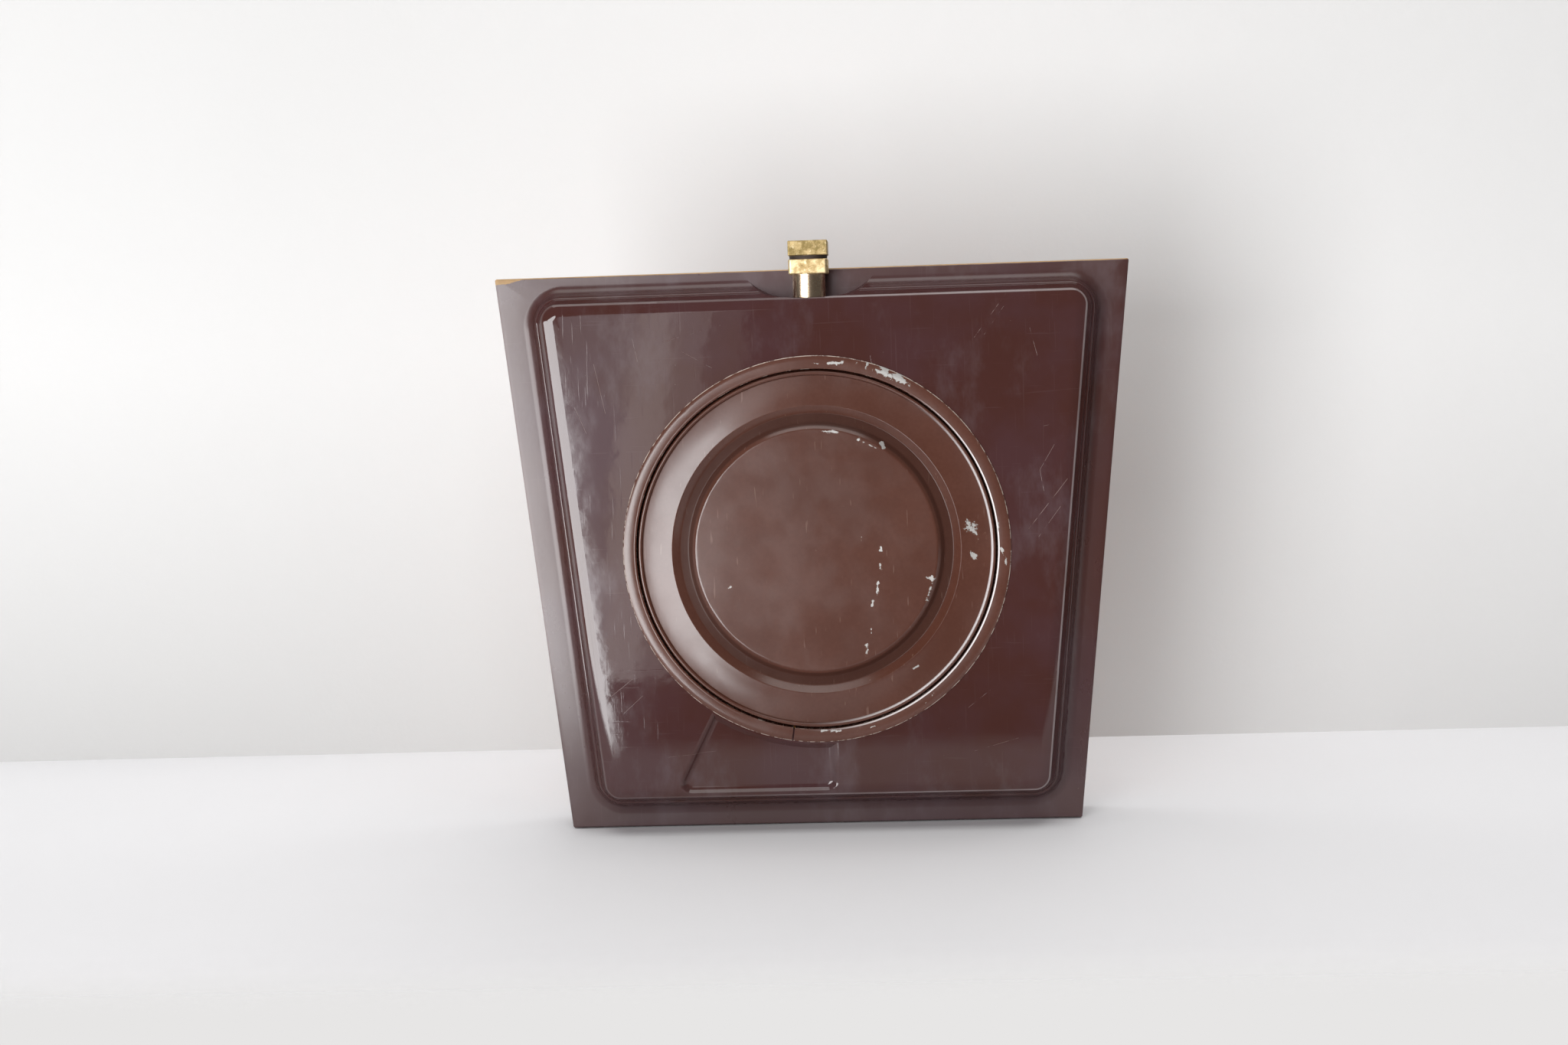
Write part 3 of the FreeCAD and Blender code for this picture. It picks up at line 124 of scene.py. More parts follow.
# ==== node helpers ==========================================================================
class Look:
    """One Principled material, with short calls that add nodes; values are numbers or sockets."""

    def __init__(self, name, base, roughness, metallic=0.0, **fixed):
        self.material = bpy.data.materials.new(name)
        self.material.use_nodes = True
        self.tree = self.material.node_tree
        self.shader = self.tree.nodes["Principled BSDF"]
        self.set("Base Color", (*base, 1.0))
        self.set("Roughness", roughness)
        self.set("Metallic", metallic)
        for socket, value in fixed.items():
            self.set(socket.replace("_", " "), value)
        self._place = None

    def set(self, socket, value):
        target = self.shader.inputs[socket]
        if isinstance(value, bpy.types.NodeSocket):
            self.tree.links.new(value, target)
        else:
            target.default_value = value

    def node(self, kind, inputs=(), **settings):
        made = self.tree.nodes.new(kind)
        for key, value in settings.items():
            setattr(made, key, value)
        for index, value in enumerate(inputs):
            if value is None:
                continue
            if isinstance(value, bpy.types.NodeSocket):
                self.tree.links.new(value, made.inputs[index])
            else:
                made.inputs[index].default_value = value
        return made

    def place(self):
        """Position on the part at rest, in metres, the same for every node of the frame."""
        if self._place is None:
            self._place = self.node("ShaderNodeTexCoord").outputs["Object"]
        return self._place

    def axis(self, name):
        split = self.node("ShaderNodeSeparateXYZ", [self.place()])
        return split.outputs[name]

    def math(self, operation, a, b):
        return self.node("ShaderNodeMath", [a, b], operation=operation).outputs[0]

    def product(self, first, *others):
        for value in others:
            first = self.math("MULTIPLY", first, value)
        return first

    def vector(self, operation, a, b=None):
        return self.node("ShaderNodeVectorMath", [a, b], operation=operation)

    def stretched(self, scale, turn=(0.0, 0.0, 0.0)):
        made = self.node("ShaderNodeMapping", [self.place()])
        made.inputs["Rotation"].default_value = [math.radians(a) for a in turn]
        made.inputs["Scale"].default_value = scale
        return made.outputs[0]

    def noise(self, scale, detail=3.0, rough=0.55, at=None, bend=0.0):
        made = self.node("ShaderNodeTexNoise", [at or self.place()])
        made.inputs["Scale"].default_value = scale
        made.inputs["Detail"].default_value = detail
        made.inputs["Roughness"].default_value = rough
        made.inputs["Distortion"].default_value = bend
        return made.outputs["Fac"]

    def grain(self, scale, turn=(0.0, 0.0, 0.0), detail=1.0, rough=0.4):
        """Noise drawn out into lines; scale is along each axis."""
        return self.noise(1.0, detail, rough, self.stretched(scale, turn))

    def cells(self, scale):
        made = self.node("ShaderNodeTexVoronoi", [self.place()])
        made.inputs["Scale"].default_value = scale
        return made.outputs["Distance"]

    def span(self, value, low, high, to_low=0.0, to_high=1.0):
        """Smooth step of value from low..high to to_low..to_high."""
        made = self.node("ShaderNodeMapRange", [value, low, high, to_low, to_high],
                         interpolation_type="SMOOTHSTEP", clamp=True)
        return made.outputs[0]

    def mix(self, factor, a, b):
        made = self.node("ShaderNodeMix", data_type="RGBA")
        for index, value in ((0, factor), (6, a), (7, b)):
            if isinstance(value, bpy.types.NodeSocket):
                self.tree.links.new(value, made.inputs[index])
            elif index == 0:
                made.inputs[0].default_value = value
            else:
                made.inputs[index].default_value = (*value, 1.0)
        return made.outputs[2]

    def tint(self, colour, mask, amount, tone):
        """The colour with this amount of another tone where the mask is on."""
        return self.mix(self.math("MULTIPLY", mask, amount), colour, tone)

    def blend(self, factor, a, b):
        """Mix of two plain values."""
        made = self.node("ShaderNodeMix", [factor, None, a, b], data_type="FLOAT")
        return made.outputs[0]

    def relief(self, *layers):
        """Sets the normal from layers of bump, one over the other, each a height and its size in mm."""
        normal = None
        for height, distance in layers:
            made = self.node("ShaderNodeBump")
            made.inputs["Strength"].default_value = 1.0
            made.inputs["Distance"].default_value = distance * MM
            self.tree.links.new(height, made.inputs["Height"])
            if normal is not None:
                self.tree.links.new(normal, made.inputs["Normal"])
            normal = made.outputs[0]
        self.set("Normal", normal)

    def flat_place(self):
        """Position in the plane of the panel, depth left out."""
        split = self.node("ShaderNodeSeparateXYZ", [self.place()])
        joined = self.node("ShaderNodeCombineXYZ", [split.outputs["X"], 0.0, split.outputs["Z"]])
        return joined.outputs[0]

    def off_port(self):
        """Offset from the axis of the round port."""
        return self.vector("SUBTRACT", self.flat_place(), PORT).outputs[0]

    def radius(self):
        """Distance from the axis of the round port."""
        return self.vector("LENGTH", self.off_port()).outputs["Value"]


def segment_group():
    """Distance from a point to the straight line between two points, divided by a width."""
    tree = bpy.data.node_groups.new("segment_distance", "ShaderNodeTree")
    for name in ("Point", "Start", "Run"):
        tree.interface.new_socket(name, in_out="INPUT", socket_type="NodeSocketVector")
    tree.interface.new_socket("Width", in_out="INPUT", socket_type="NodeSocketFloat")
    tree.interface.new_socket("Ratio", in_out="OUTPUT", socket_type="NodeSocketFloat")
    start = tree.nodes.new("NodeGroupInput").outputs
    end = tree.nodes.new("NodeGroupOutput").inputs

    def vector(operation, *values):
        made = tree.nodes.new("ShaderNodeVectorMath")
        made.operation = operation
        for socket, value in zip(made.inputs, values):
            tree.links.new(value, socket)
        return made

    def number(operation, a, b, clamp=False):
        made = tree.nodes.new("ShaderNodeMath")
        made.operation = operation
        made.use_clamp = clamp
        tree.links.new(a, made.inputs[0])
        tree.links.new(b, made.inputs[1])
        return made.outputs[0]

    offset = vector("SUBTRACT", start["Point"], start["Start"]).outputs[0]
    along = vector("DOT_PRODUCT", offset, start["Run"]).outputs["Value"]
    whole = vector("DOT_PRODUCT", start["Run"], start["Run"]).outputs["Value"]
    share = number("DIVIDE", along, whole, clamp=True)
    reach = tree.nodes.new("ShaderNodeVectorMath")
    reach.operation = "SCALE"
    tree.links.new(start["Run"], reach.inputs[0])
    tree.links.new(share, reach.inputs["Scale"])
    gap = vector("DISTANCE", offset, reach.outputs[0]).outputs["Value"]
    tree.links.new(number("DIVIDE", gap, start["Width"]), end["Ratio"])
    return tree


SEGMENT = segment_group()


def marks(look, strokes):
    """Nearest of several strokes, each x, z, run x, run z and half-width, in mm from the port's axis."""
    point = look.flat_place()
    nearest = None
    for x, z, run_x, run_z, width in strokes:
        made = look.node("ShaderNodeGroup", node_tree=SEGMENT)
        look.tree.links.new(point, made.inputs["Point"])
        made.inputs["Start"].default_value = PORT + Vector((x * MM, 0, z * MM))
        made.inputs["Run"].default_value = (run_x * MM, 0, run_z * MM)
        made.inputs["Width"].default_value = width * MM
        ratio = made.outputs["Ratio"]
        nearest = ratio if nearest is None else look.math("MINIMUM", nearest, ratio)
    return nearest


# ==== materials =============================================================================
BROWN = (0.050, 0.0165, 0.0130)
PLUM = (0.054, 0.0215, 0.0225)
HAZE = (0.34, 0.32, 0.36)
# pale tint of the flange's bloom, and of the painted sheen on its lower part
BLOOM_AND_SHEEN = (0.36, 0.33, 0.36)
SCRATCH = (0.30, 0.20, 0.17)
HAIRLINE = (0.26, 0.20, 0.20)
SPECK = (0.32, 0.27, 0.24)
# colour and strength of the painted highlight along the panel's crease
CREASE_HIGHLIGHT = (0.40, 0.35, 0.35)
CREASE_HIGHLIGHT_AMOUNT = 0.38
TAN = (0.40, 0.25, 0.11)
TAN_DARK = (0.28, 0.165, 0.07)
ARRIS_LINE = 0.42 * MM         # width of the tan line on the flange's top edge
ARRIS_PATCH = 2.2 * MM         # and of the patch at its left corner
BARE_STEEL = (0.44, 0.43, 0.42)
BARE_STEEL_DARK = (0.30, 0.28, 0.26)
STEP_HIGH = FLANGE_Y - 8 * MM  # the flange's dull finish runs out on the step between these
STEP_LOW = FLANGE_Y - 1 * MM
PANEL_EDGE = (FLANGE_Y - 15 * MM, FLANGE_Y - 17 * MM)
CREASE_START = (FLANGE_Y - 17.0 * MM, FLANGE_Y - 17.35 * MM)
CREASE_END = (FLANGE_Y - 17.75 * MM, FLANGE_Y - 17.6 * MM)
POCKET_LEFT = -62 * MM         # the pocket's region, from the port's axis
POCKET_RIGHT = 7 * MM
POCKET_BOTTOM = -99.4 * MM

# long scratches on the panel, in mm from the port's axis: x, z, run x, run z, half-width
PANEL_SCRATCHES = [
    (66, 84, 13, 17, 0.15), (70, 85, 8, 11, 0.09), (85, 5, 17, 21, 0.16), (90, 3, 9, 12, 0.10),
    (-97, 62, 5, -12, 0.08), (-60, 86, 16, 4, 0.09), (-52, 82, 12, -7, 0.08), (-88, 78, 4, -20, 0.08),
    (-72, 88, 3, -15, 0.07), (24, 78, 3, -19, 0.08), (84, 46, 11, 2, 0.09), (-86, -58, 9, 7, 0.10),
    (-82, -66, 9, 8, 0.09), (98, -40, -2, -12, 0.08), (97, 40, -6, -10, 0.10), (91, 30, 2, -12, 0.09),
    (88, 88, 3, -12, 0.08), (-66, -84, 22, 2, 0.06), (62, -84, 18, 5, 0.08), (60, -66, 9, 7, 0.07),
]
# directions of the hairlines: stretch along each axis, turn about the depth axis
HAIRLINES = [((1400.0, 60.0, 40.0), 34.0), ((55.0, 60.0, 1300.0), 61.0), ((1500.0, 60.0, 50.0), -12.0)]


def worn_arris(look):
    """Thin tan line along the flange's top edge, widening into a patch at its left corner."""
    jitter = look.math("SUBTRACT", look.noise(170.0, 4.0, 0.65), 0.5)
    jitter = look.math("MULTIPLY", jitter, 1.0 * MM)
    below = look.math("SUBTRACT", FLANGE_TOP, look.axis("Z"))
    reach = look.math("SUBTRACT", look.axis("X"), FLANGE_LEFT)
    limit = look.span(reach, 12.5 * MM, 3.5 * MM, ARRIS_LINE, ARRIS_PATCH)
    uneven = look.math("MULTIPLY", jitter, look.span(reach, 13 * MM, 8 * MM, 0.5, 2.2))
    over = look.math("SUBTRACT", below, look.math("ADD", limit, uneven))
    worn = look.span(over, 0.10 * MM, -0.10 * MM)
    depth = look.axis("Y")
    front = FLANGE_Y + FLANGE_T
    on_flange = look.math("MULTIPLY", look.span(depth, front + 0.4 * MM, front),
                          look.span(depth, FLANGE_Y - 0.5 * MM, FLANGE_Y - 0.2 * MM))
    return look.math("MULTIPLY", worn, on_flange)


def crease_painted_highlight(look, depth, broad):
    """Painted highlight: a pale line round the panel's raised edge, fading to the left and absent at the
    pocket.
    """
    place = look.node("ShaderNodeSeparateXYZ", [look.off_port()]).outputs
    pocket = look.product(look.span(place["X"], POCKET_LEFT, POCKET_LEFT + 1 * MM),
                          look.span(place["X"], POCKET_RIGHT, POCKET_RIGHT - 1 * MM),
                          look.span(place["Z"], POCKET_BOTTOM, POCKET_BOTTOM + 0.6 * MM))
    return look.product(look.span(depth, *CREASE_START), look.span(depth, *CREASE_END),
                        look.math("SUBTRACT", 1.0, pocket),
                        look.span(place["X"], -70 * MM, 70 * MM, 0.25, 1.0),
                        look.span(broad, 0.30, 0.55, 0.55, 1.0))


def panel_scratches(look, depth):
    """Long broken scratches on the raised panel alone."""
    broken = look.span(look.noise(160.0, 4.0, 0.7), 0.42, 0.56)
    return look.product(look.span(marks(look, PANEL_SCRATCHES), 1.0, 0.2), broken,
                        look.span(depth, *PANEL_EDGE))


def phenolic():
    """Dark purple-brown glossy moulding: mottling, handling smears, scratches, a worn tan arris, a
    painted highlight along the panel's crease, and pale bloom with painted sheen on the flange.
    """
    look = Look("phenolic", BROWN, 0.2, Specular_IOR_Level=0.5)
    depth = look.axis("Y")
    broad = look.noise(19.0, 4.0, 0.6)
    smear = look.noise(34.0, 5.0, 0.68, look.stretched((1.0, 1.0, 0.5), (0.0, 25.0, 0.0)))
    # faint bloom over the flange, growing towards the bottom as painted sheen
    bloom_and_sheen = look.span(look.axis("Z"), FLANGE_BOTTOM + 30 * MM, FLANGE_BOTTOM + 8 * MM, 0.010, 0.065)
    hairs = 0.0
    for scale, turn in HAIRLINES:
        hair = look.grain(scale, (0.0, turn, 0.0))
        hairs = look.math("MAXIMUM", hairs, look.span(hair, 0.71, 0.79))
    specks = look.span(look.noise(900.0, 2.0, 0.6), 0.745, 0.80)
    stroke = panel_scratches(look, depth)
    worn = worn_arris(look)

    colour = look.mix(look.span(broad, 0.36, 0.64), BROWN, PLUM)
    colour = look.tint(colour, look.span(smear, 0.50, 0.72), 0.075, HAZE)
    # bloom and painted sheen on the flange
    colour = look.tint(colour, bloom_and_sheen, look.span(depth, STEP_HIGH, STEP_LOW), BLOOM_AND_SHEEN)
    colour = look.tint(colour, stroke, 0.35, SCRATCH)
    colour = look.tint(colour, hairs, 0.035, HAIRLINE)
    colour = look.tint(colour, specks, 0.3, SPECK)
    # painted highlight on the panel's crease, strongest on the right
    colour = look.tint(colour, crease_painted_highlight(look, depth, broad), CREASE_HIGHLIGHT_AMOUNT, CREASE_HIGHLIGHT)
    look.set("Base Color", look.mix(worn, colour, look.mix(look.noise(500.0, 3.0), TAN, TAN_DARK)))

    rough = look.math("ADD", look.span(smear, 0.35, 0.72, 0.03, 0.09),
                      look.span(depth, STEP_HIGH, STEP_LOW, 0.0, 0.24))
    look.set("Roughness", look.blend(look.math("MAXIMUM", stroke, worn), rough, 0.6))
    grooves = look.math("MAXIMUM", stroke, look.math("MULTIPLY", hairs, 0.06))
    look.relief((look.noise(17.0, 1.5, 0.45), 0.12), (look.noise(65.0, 2.0, 0.5), 0.020),
                (look.noise(260.0, 2.0, 0.5), 0.006), (look.math("SUBTRACT", 1.0, grooves), 0.03))
    return look.material


DUST = (0.30, 0.20, 0.16)
CHIP_HALO = (0.15, 0.075, 0.05)
RUBBED = (0.50, 0.42, 0.36)
# colour of the painted highlight line on the enamel's lower right side
HIGHLIGHT_TINT = (0.80, 0.76, 0.76)
HIGHLIGHT_SIDE = (0.95, 0.0, -0.31)             # the painted highlight line lies on this side
# colour of the painted shade in the lid's channel
CHANNEL_SHADE_TINT = (0.030, 0.014, 0.011)

# paint chips as short strokes, in mm from the port's axis: x, z, run x, run z, half-width
LID_CHIPS = [
    (61.2, 11.0, 1.2, -3.8, 0.7), (62.8, 7.0, 4.6, -4.6, 1.1), (62.3, -1.8, 2.8, -4.2, 0.85),
    (3.0, 48.4, 8.0, -0.8, 0.45), (18.5, 44.3, 7.0, -3.6, 0.6), (27.5, 42.5, 0.8, -1.6, 0.5),
    (44.8, -12.6, 1.6, -0.4, 0.7), (46.3, -15.0, -2.2, -6.4, 0.5), (26.4, 0.6, -0.2, -1.2, 0.4),
    (25.6, -6.6, 0.2, -1.4, 0.45), (24.6, -14.5, -0.6, -3.5, 0.5), (22.3, -21.5, -0.3, -1.6, 0.4),
    (21.6, -31.0, -0.3, -3.4, 0.4), (19.8, -38.6, -0.5, -5.0, 0.65), (-36.4, -14.6, 1.4, 0.5, 0.5),
    (18.4, 3.4, 0.1, 1.4, 0.35), (38.0, -49.5, 2.0, 1.0, 0.25),
]

RING_CHIPS = [
    (26.5, 71.8, 4.0, -0.8, 1.3), (30.5, 70.2, 4.5, -1.6, 1.2), (32.0, 72.6, 3.5, -1.0, 0.7),
    (36.5, 67.6, 3.0, -1.4, 0.9), (7.0, 75.5, 6.0, 0.1, 0.45), (18.5, 75.6, 1.6, -0.6, 0.5),
    (22.0, 73.2, 1.2, 2.4, 0.4), (-1.0, 76.0, 4.0, -0.6, 0.3), (39.5, -62.5, 4.6, 3.6, 0.6),
    (42.5, -63.6, 3.4, 3.6, 0.4), (0.0, -74.0, 7.4, -0.2, 0.42), (14.5, -74.6, 1.4, 2.0, 0.4),
    (20.0, -73.0, 1.6, 0.4, 0.25), (74.5, -1.0, 1.2, -3.6, 0.35), (76.4, -4.5, 0.2, -4.0, 0.35),
    (73.6, 6.0, 0.4, 3.6, 0.25),
]


def enamel(name, dark, light, chips, rub_inner, rub_outer, highlight_r, shade_band=(0.0, 0.0)):
    """Semi-gloss brown stove enamel: chips down to the steel, rubbed rims, a painted highlight line and
    painted shade in a channel.

    rub_inner and rub_outer are the radii of the part's rims, the next radius is that of the painted
    highlight line and the last pair holds the radii of the channel that is darkened as painted shade.
    """
    look = Look(name, dark, 0.3, Specular_IOR_Level=0.5)
    radius = look.radius()
    ragged = look.math("MULTIPLY", look.math("SUBTRACT", look.noise(620.0, 5.0, 0.75), 0.5), 6.0)
    gaps = look.math("MULTIPLY", look.math("SUBTRACT", look.noise(230.0, 2.0, 0.5), 0.44), 9.0)
    ratio = look.math("ADD", look.math("ADD", marks(look, chips), ragged), gaps)
    chip = look.span(ratio, 1.0, 0.85)
    rim_noise = look.noise(300.0, 4.0, 0.7)
    outer = look.math("MULTIPLY", look.span(radius, rub_outer - 0.40 * MM, rub_outer - 0.15 * MM),
                      look.span(rim_noise, 0.42, 0.54))
    inner = look.math("MULTIPLY", look.span(radius, rub_inner + 0.4 * MM, rub_inner),
                      look.span(rim_noise, 0.54, 0.64, 0.0, 0.5))
    rub = look.math("MAXIMUM", outer, inner)
    toward = look.vector("DOT_PRODUCT", look.off_port(), HIGHLIGHT_SIDE).outputs["Value"]
    side = look.span(toward, 15 * MM, 60 * MM)
    # painted highlight: a pale line at one radius on the lower right side
    painted_highlight = look.product(look.span(radius, highlight_r - 0.45 * MM, highlight_r - 0.15 * MM),
                            look.span(radius, highlight_r + 0.45 * MM, highlight_r + 0.15 * MM), side)
    hair = look.span(look.grain((900.0, 900.0, 110.0), (0.0, 14.0, 0.0)), 0.73, 0.80)
    specks = look.span(look.noise(1500.0, 2.0, 0.6), 0.75, 0.82)
    # painted shade: the channel between these radii is darkened
    channel_shade = look.math("MULTIPLY", look.span(radius, shade_band[0] - 0.8 * MM, shade_band[0]),
                     look.span(radius, shade_band[1] + 0.8 * MM, shade_band[1]))
    dull = look.product(look.span(radius, shade_band[0] - 0.8 * MM, shade_band[0]),
                        look.span(radius, shade_band[1] + 4.6 * MM, shade_band[1] + 3.6 * MM),
                        look.math("MAXIMUM", channel_shade, side))

    shade = look.math("ADD", look.math("MULTIPLY", look.noise(24.0, 5.0, 0.62), 0.75),
                      look.math("MULTIPLY", look.noise(700.0, 2.0, 0.5), 0.25))
    colour = look.mix(look.span(shade, 0.36, 0.66), dark, light)
    colour = look.tint(colour, look.math("MAXIMUM", hair, specks), 0.18, DUST)
    colour = look.tint(colour, look.span(ratio, 1.9, 1.0), 0.3, CHIP_HALO)
    colour = look.tint(colour, rub, 0.8, RUBBED)
    # painted highlight line
    colour = look.tint(colour, painted_highlight, 0.75, HIGHLIGHT_TINT)
    # painted shade in the channel
    colour = look.tint(colour, channel_shade, 0.6, CHANNEL_SHADE_TINT)
    steel = look.mix(look.noise(1200.0, 2.0), BARE_STEEL, BARE_STEEL_DARK)
    look.set("Base Color", look.mix(chip, colour, steel))
    look.set("Metallic", look.math("MULTIPLY", chip, 0.4))
    look.set("Specular IOR Level", look.blend(dull, 0.5, 0.1))
    rough = look.span(look.noise(60.0, 4.0, 0.6), 0.3, 0.7, 0.17, 0.24)
    look.set("Roughness", look.blend(look.math("MAXIMUM", chip, rub), rough, 0.5))
    look.relief((look.noise(420.0, 2.0, 0.5), 0.010), (look.noise(30.0, 2.0, 0.5), 0.08),
                (look.math("SUBTRACT", 1.0, chip), 0.08))
    return look.material


def lid_enamel():
    # the last pair of radii is the lid's channel, darkened as painted shade
    return enamel("cover_paint", (0.068, 0.0240, 0.0155), (0.083, 0.0315, 0.0212), LID_CHIPS, 0.0,
                  LID_R + 2 * MM, LID_R - 2.25 * MM, (50.8 * MM, 55.2 * MM))


def ring_enamel():
    return enamel("ring_paint", (0.074, 0.027, 0.018), (0.092, 0.036, 0.025), RING_CHIPS,
                  LID_R + 0.05 * MM, RING_R, LID_R + 0.45 * MM)


def sawn_brass(name, dark, light, bright, rough_high, rough_low):
    """Sawn brass block: tarnish in patches, bright scuffed spots and fine saw lines."""
    look = Look(name, light, 0.34, 1.0)
    patch = look.noise(230.0, 5.0, 0.68)
    spots = look.noise(620.0, 3.0, 0.6)
    colour = look.mix(look.span(patch, 0.38, 0.62), dark, light)
    colour = look.mix(look.span(spots, 0.56, 0.70, 0.0, 0.7), colour, bright)
    colour = look.mix(look.span(spots, 0.38, 0.28, 0.0, 0.6), colour, (0.12, 0.07, 0.03))
    look.set("Base Color", colour)
    look.set("Roughness", look.span(patch, 0.3, 0.7, rough_high, rough_low))
    saw = look.grain((70.0, 70.0, 2600.0), detail=3.0, rough=0.6)
    look.relief((saw, 0.02), (spots, 0.05))
    return look.material


def turned_brass(name, dark, light, dull=0.0):
    """Turned brass with fine rings and a little browning; dull is added to its roughness."""
    look = Look(name, light, 0.14, 1.0)
    film = look.noise(160.0, 4.0, 0.6)
    look.set("Base Color", look.mix(look.span(film, 0.35, 0.70), dark, light))
    look.set("Roughness", look.span(film, 0.3, 0.7, 0.20 + dull, 0.09 + dull))
    look.relief((look.grain((8.0, 8.0, 3200.0), detail=2.0, rough=0.5), 0.006))
    return look.material


def plated_steel():
    """Zinc-plated steel with a cloudy spangle and drawn lines."""
    look = Look("steel", (0.52, 0.52, 0.53), 0.35, 1.0)
    colour = look.mix(look.span(look.cells(300.0), 0.1, 0.7), (0.42, 0.42, 0.43), (0.60, 0.60, 0.60))
    rust = look.span(look.noise(210.0, 5.0, 0.7), 0.66, 0.74)
    look.set("Base Color", look.tint(colour, rust, 0.6, (0.19, 0.09, 0.045)))
    look.set("Roughness", look.span(look.noise(400.0, 3.0), 0.3, 0.7, 0.28, 0.46))
    look.relief((look.grain((120.0, 120.0, 1800.0), detail=2.0, rough=0.5), 0.01))
    return look.material


def felt():
    """Black felt: matted fibres and lint."""
    look = Look("felt", (0.012, 0.012, 0.013), 0.95, Sheen_Weight=0.4, Sheen_Roughness=0.5)
    fibres = look.noise(1500.0, 5.0, 0.75)
    lint = look.span(look.noise(2600.0, 3.0, 0.7), 0.66, 0.74)
    colour = look.mix(fibres, (0.008, 0.008, 0.009), (0.030, 0.029, 0.030))
    look.set("Base Color", look.tint(colour, lint, 0.3, (0.15, 0.14, 0.13)))
    look.relief((fibres, 0.12))
    return look.material


def fibre():
    """Dark brown vulcanised fibre washer."""
    look = Look("fibre", (0.03, 0.018, 0.013), 0.8)
    grain = look.grain((900.0, 900.0, 3000.0), detail=4.0, rough=0.6)
    look.set("Base Color", look.mix(grain, (0.018, 0.012, 0.009), (0.055, 0.034, 0.024)))
    look.relief((grain, 0.03))
    return look.material


def porcelain():
    """Glazed porcelain with iron specks and a thin yellowed glaze."""
    look = Look("porcelain", (0.80, 0.77, 0.69), 0.14, Coat_Weight=0.3, Coat_Roughness=0.05)
    tone = look.noise(90.0, 4.0, 0.6)
    colour = look.mix(tone, (0.72, 0.68, 0.58), (0.86, 0.84, 0.78))
    specks = look.span(look.cells(420.0), 0.07, 0.03)
    look.set("Base Color", look.tint(colour, specks, 0.6, (0.16, 0.10, 0.06)))
    look.set("Roughness", look.span(tone, 0.3, 0.7, 0.10, 0.22))
    look.relief((look.noise(160.0, 2.0), 0.05))
    return look.material


def holder_moulding():
    """Almost black moulded holder with a fine matt grain and handling shine."""
    look = Look("holder_plastic", (0.022, 0.013, 0.010), 0.3)
    grain = look.noise(800.0, 3.0, 0.6)
    colour = look.mix(grain, (0.016, 0.009, 0.007), (0.034, 0.020, 0.015))
    fleck = look.span(look.noise(1400.0, 2.0), 0.70, 0.76)
    look.set("Base Color", look.tint(colour, fleck, 0.3, (0.10, 0.06, 0.04)))
    look.set("Roughness", look.span(look.noise(60.0, 4.0), 0.3, 0.7, 0.22, 0.42))
    look.relief((grain, 0.01))
    return look.material


def clear_glass(name, tint, haze):
    """Thin clear glass with a trace of dust."""
    look = Look(name, tint, 0.02, Transmission_Weight=1.0, IOR=1.45)
    dust = look.noise(300.0, 4.0, 0.7)
    look.set("Roughness", look.span(dust, 0.45, 0.75, 0.01, haze))
    look.relief((look.noise(35.0, 1.0), 0.03))
    return look.material


def filter_glass():
    """Flat glass sheet: most light passes straight through and its faces mirror a little."""
    look = Look("filter_glass", (0.95, 0.97, 0.95), 0.02, 1.0, Alpha=0.10)
    dust = look.noise(300.0, 4.0, 0.7)
    look.set("Roughness", look.span(dust, 0.35, 0.75, 0.015, 0.035))
    look.relief((look.noise(12.0, 1.0), 0.02))
    return look.material


def gelatine():
    """Dyed amber gelatine film."""
    look = Look("gelatine", (0.62, 0.16, 0.012), 0.3, Transmission_Weight=0.15, IOR=1.5)
    tone = look.noise(18.0, 4.0, 0.6)
    look.set("Base Color", look.mix(tone, (0.62, 0.13, 0.010), (0.80, 0.23, 0.02)))
    look.set("Roughness", look.span(look.noise(120.0, 3.0), 0.3, 0.7, 0.22, 0.4))
    look.relief((look.noise(40.0, 3.0), 0.08))
    return look.material


def binding_tape():
    """Black cloth-paper tape with a faint weave and scuffed folds."""
    look = Look("binding_tape", (0.020, 0.020, 0.021), 0.75)
    weave = look.math("MAXIMUM", look.grain((2600.0, 300.0, 260.0)), look.grain((260.0, 300.0, 2600.0)))
    look.set("Base Color", look.mix(weave, (0.012, 0.012, 0.013), (0.045, 0.044, 0.044)))
    look.relief((weave, 0.05))
    return look.material


def bulb_metal():
    """Dull aluminium lamp cap with solder-grey stains."""
    look = Look("bulb_cap_metal", (0.66, 0.64, 0.60), 0.32, 1.0)
    stain = look.noise(200.0, 5.0, 0.65)
    look.set("Base Color", look.mix(stain, (0.50, 0.47, 0.42), (0.74, 0.73, 0.70)))
    look.set("Roughness", look.span(stain, 0.3, 0.7, 0.45, 0.24))
    look.relief((look.noise(900.0, 2.0), 0.01))
    return look.material


def black_glass():
    """Black glass disc under the bulb's cap, with flow lines."""
    look = Look("bulb_insulator", (0.012, 0.012, 0.018), 0.1)
    swirl = look.noise(500.0, 3.0, 0.6, bend=1.5)
    look.set("Base Color", look.mix(swirl, (0.006, 0.006, 0.010), (0.030, 0.030, 0.042)))
    look.set("Roughness", look.span(swirl, 0.3, 0.7, 0.06, 0.2))
    return look.material


def drawn_wire():
    """Grey drawn wire with a heat film."""
    look = Look("bulb_wire", (0.42, 0.42, 0.43), 0.3, 1.0)
    film = look.noise(700.0, 3.0, 0.6)
    look.set("Base Color", look.mix(film, (0.28, 0.28, 0.30), (0.55, 0.54, 0.53)))
    look.set("Roughness", look.span(film, 0.3, 0.7, 0.4, 0.22))
    return look.material


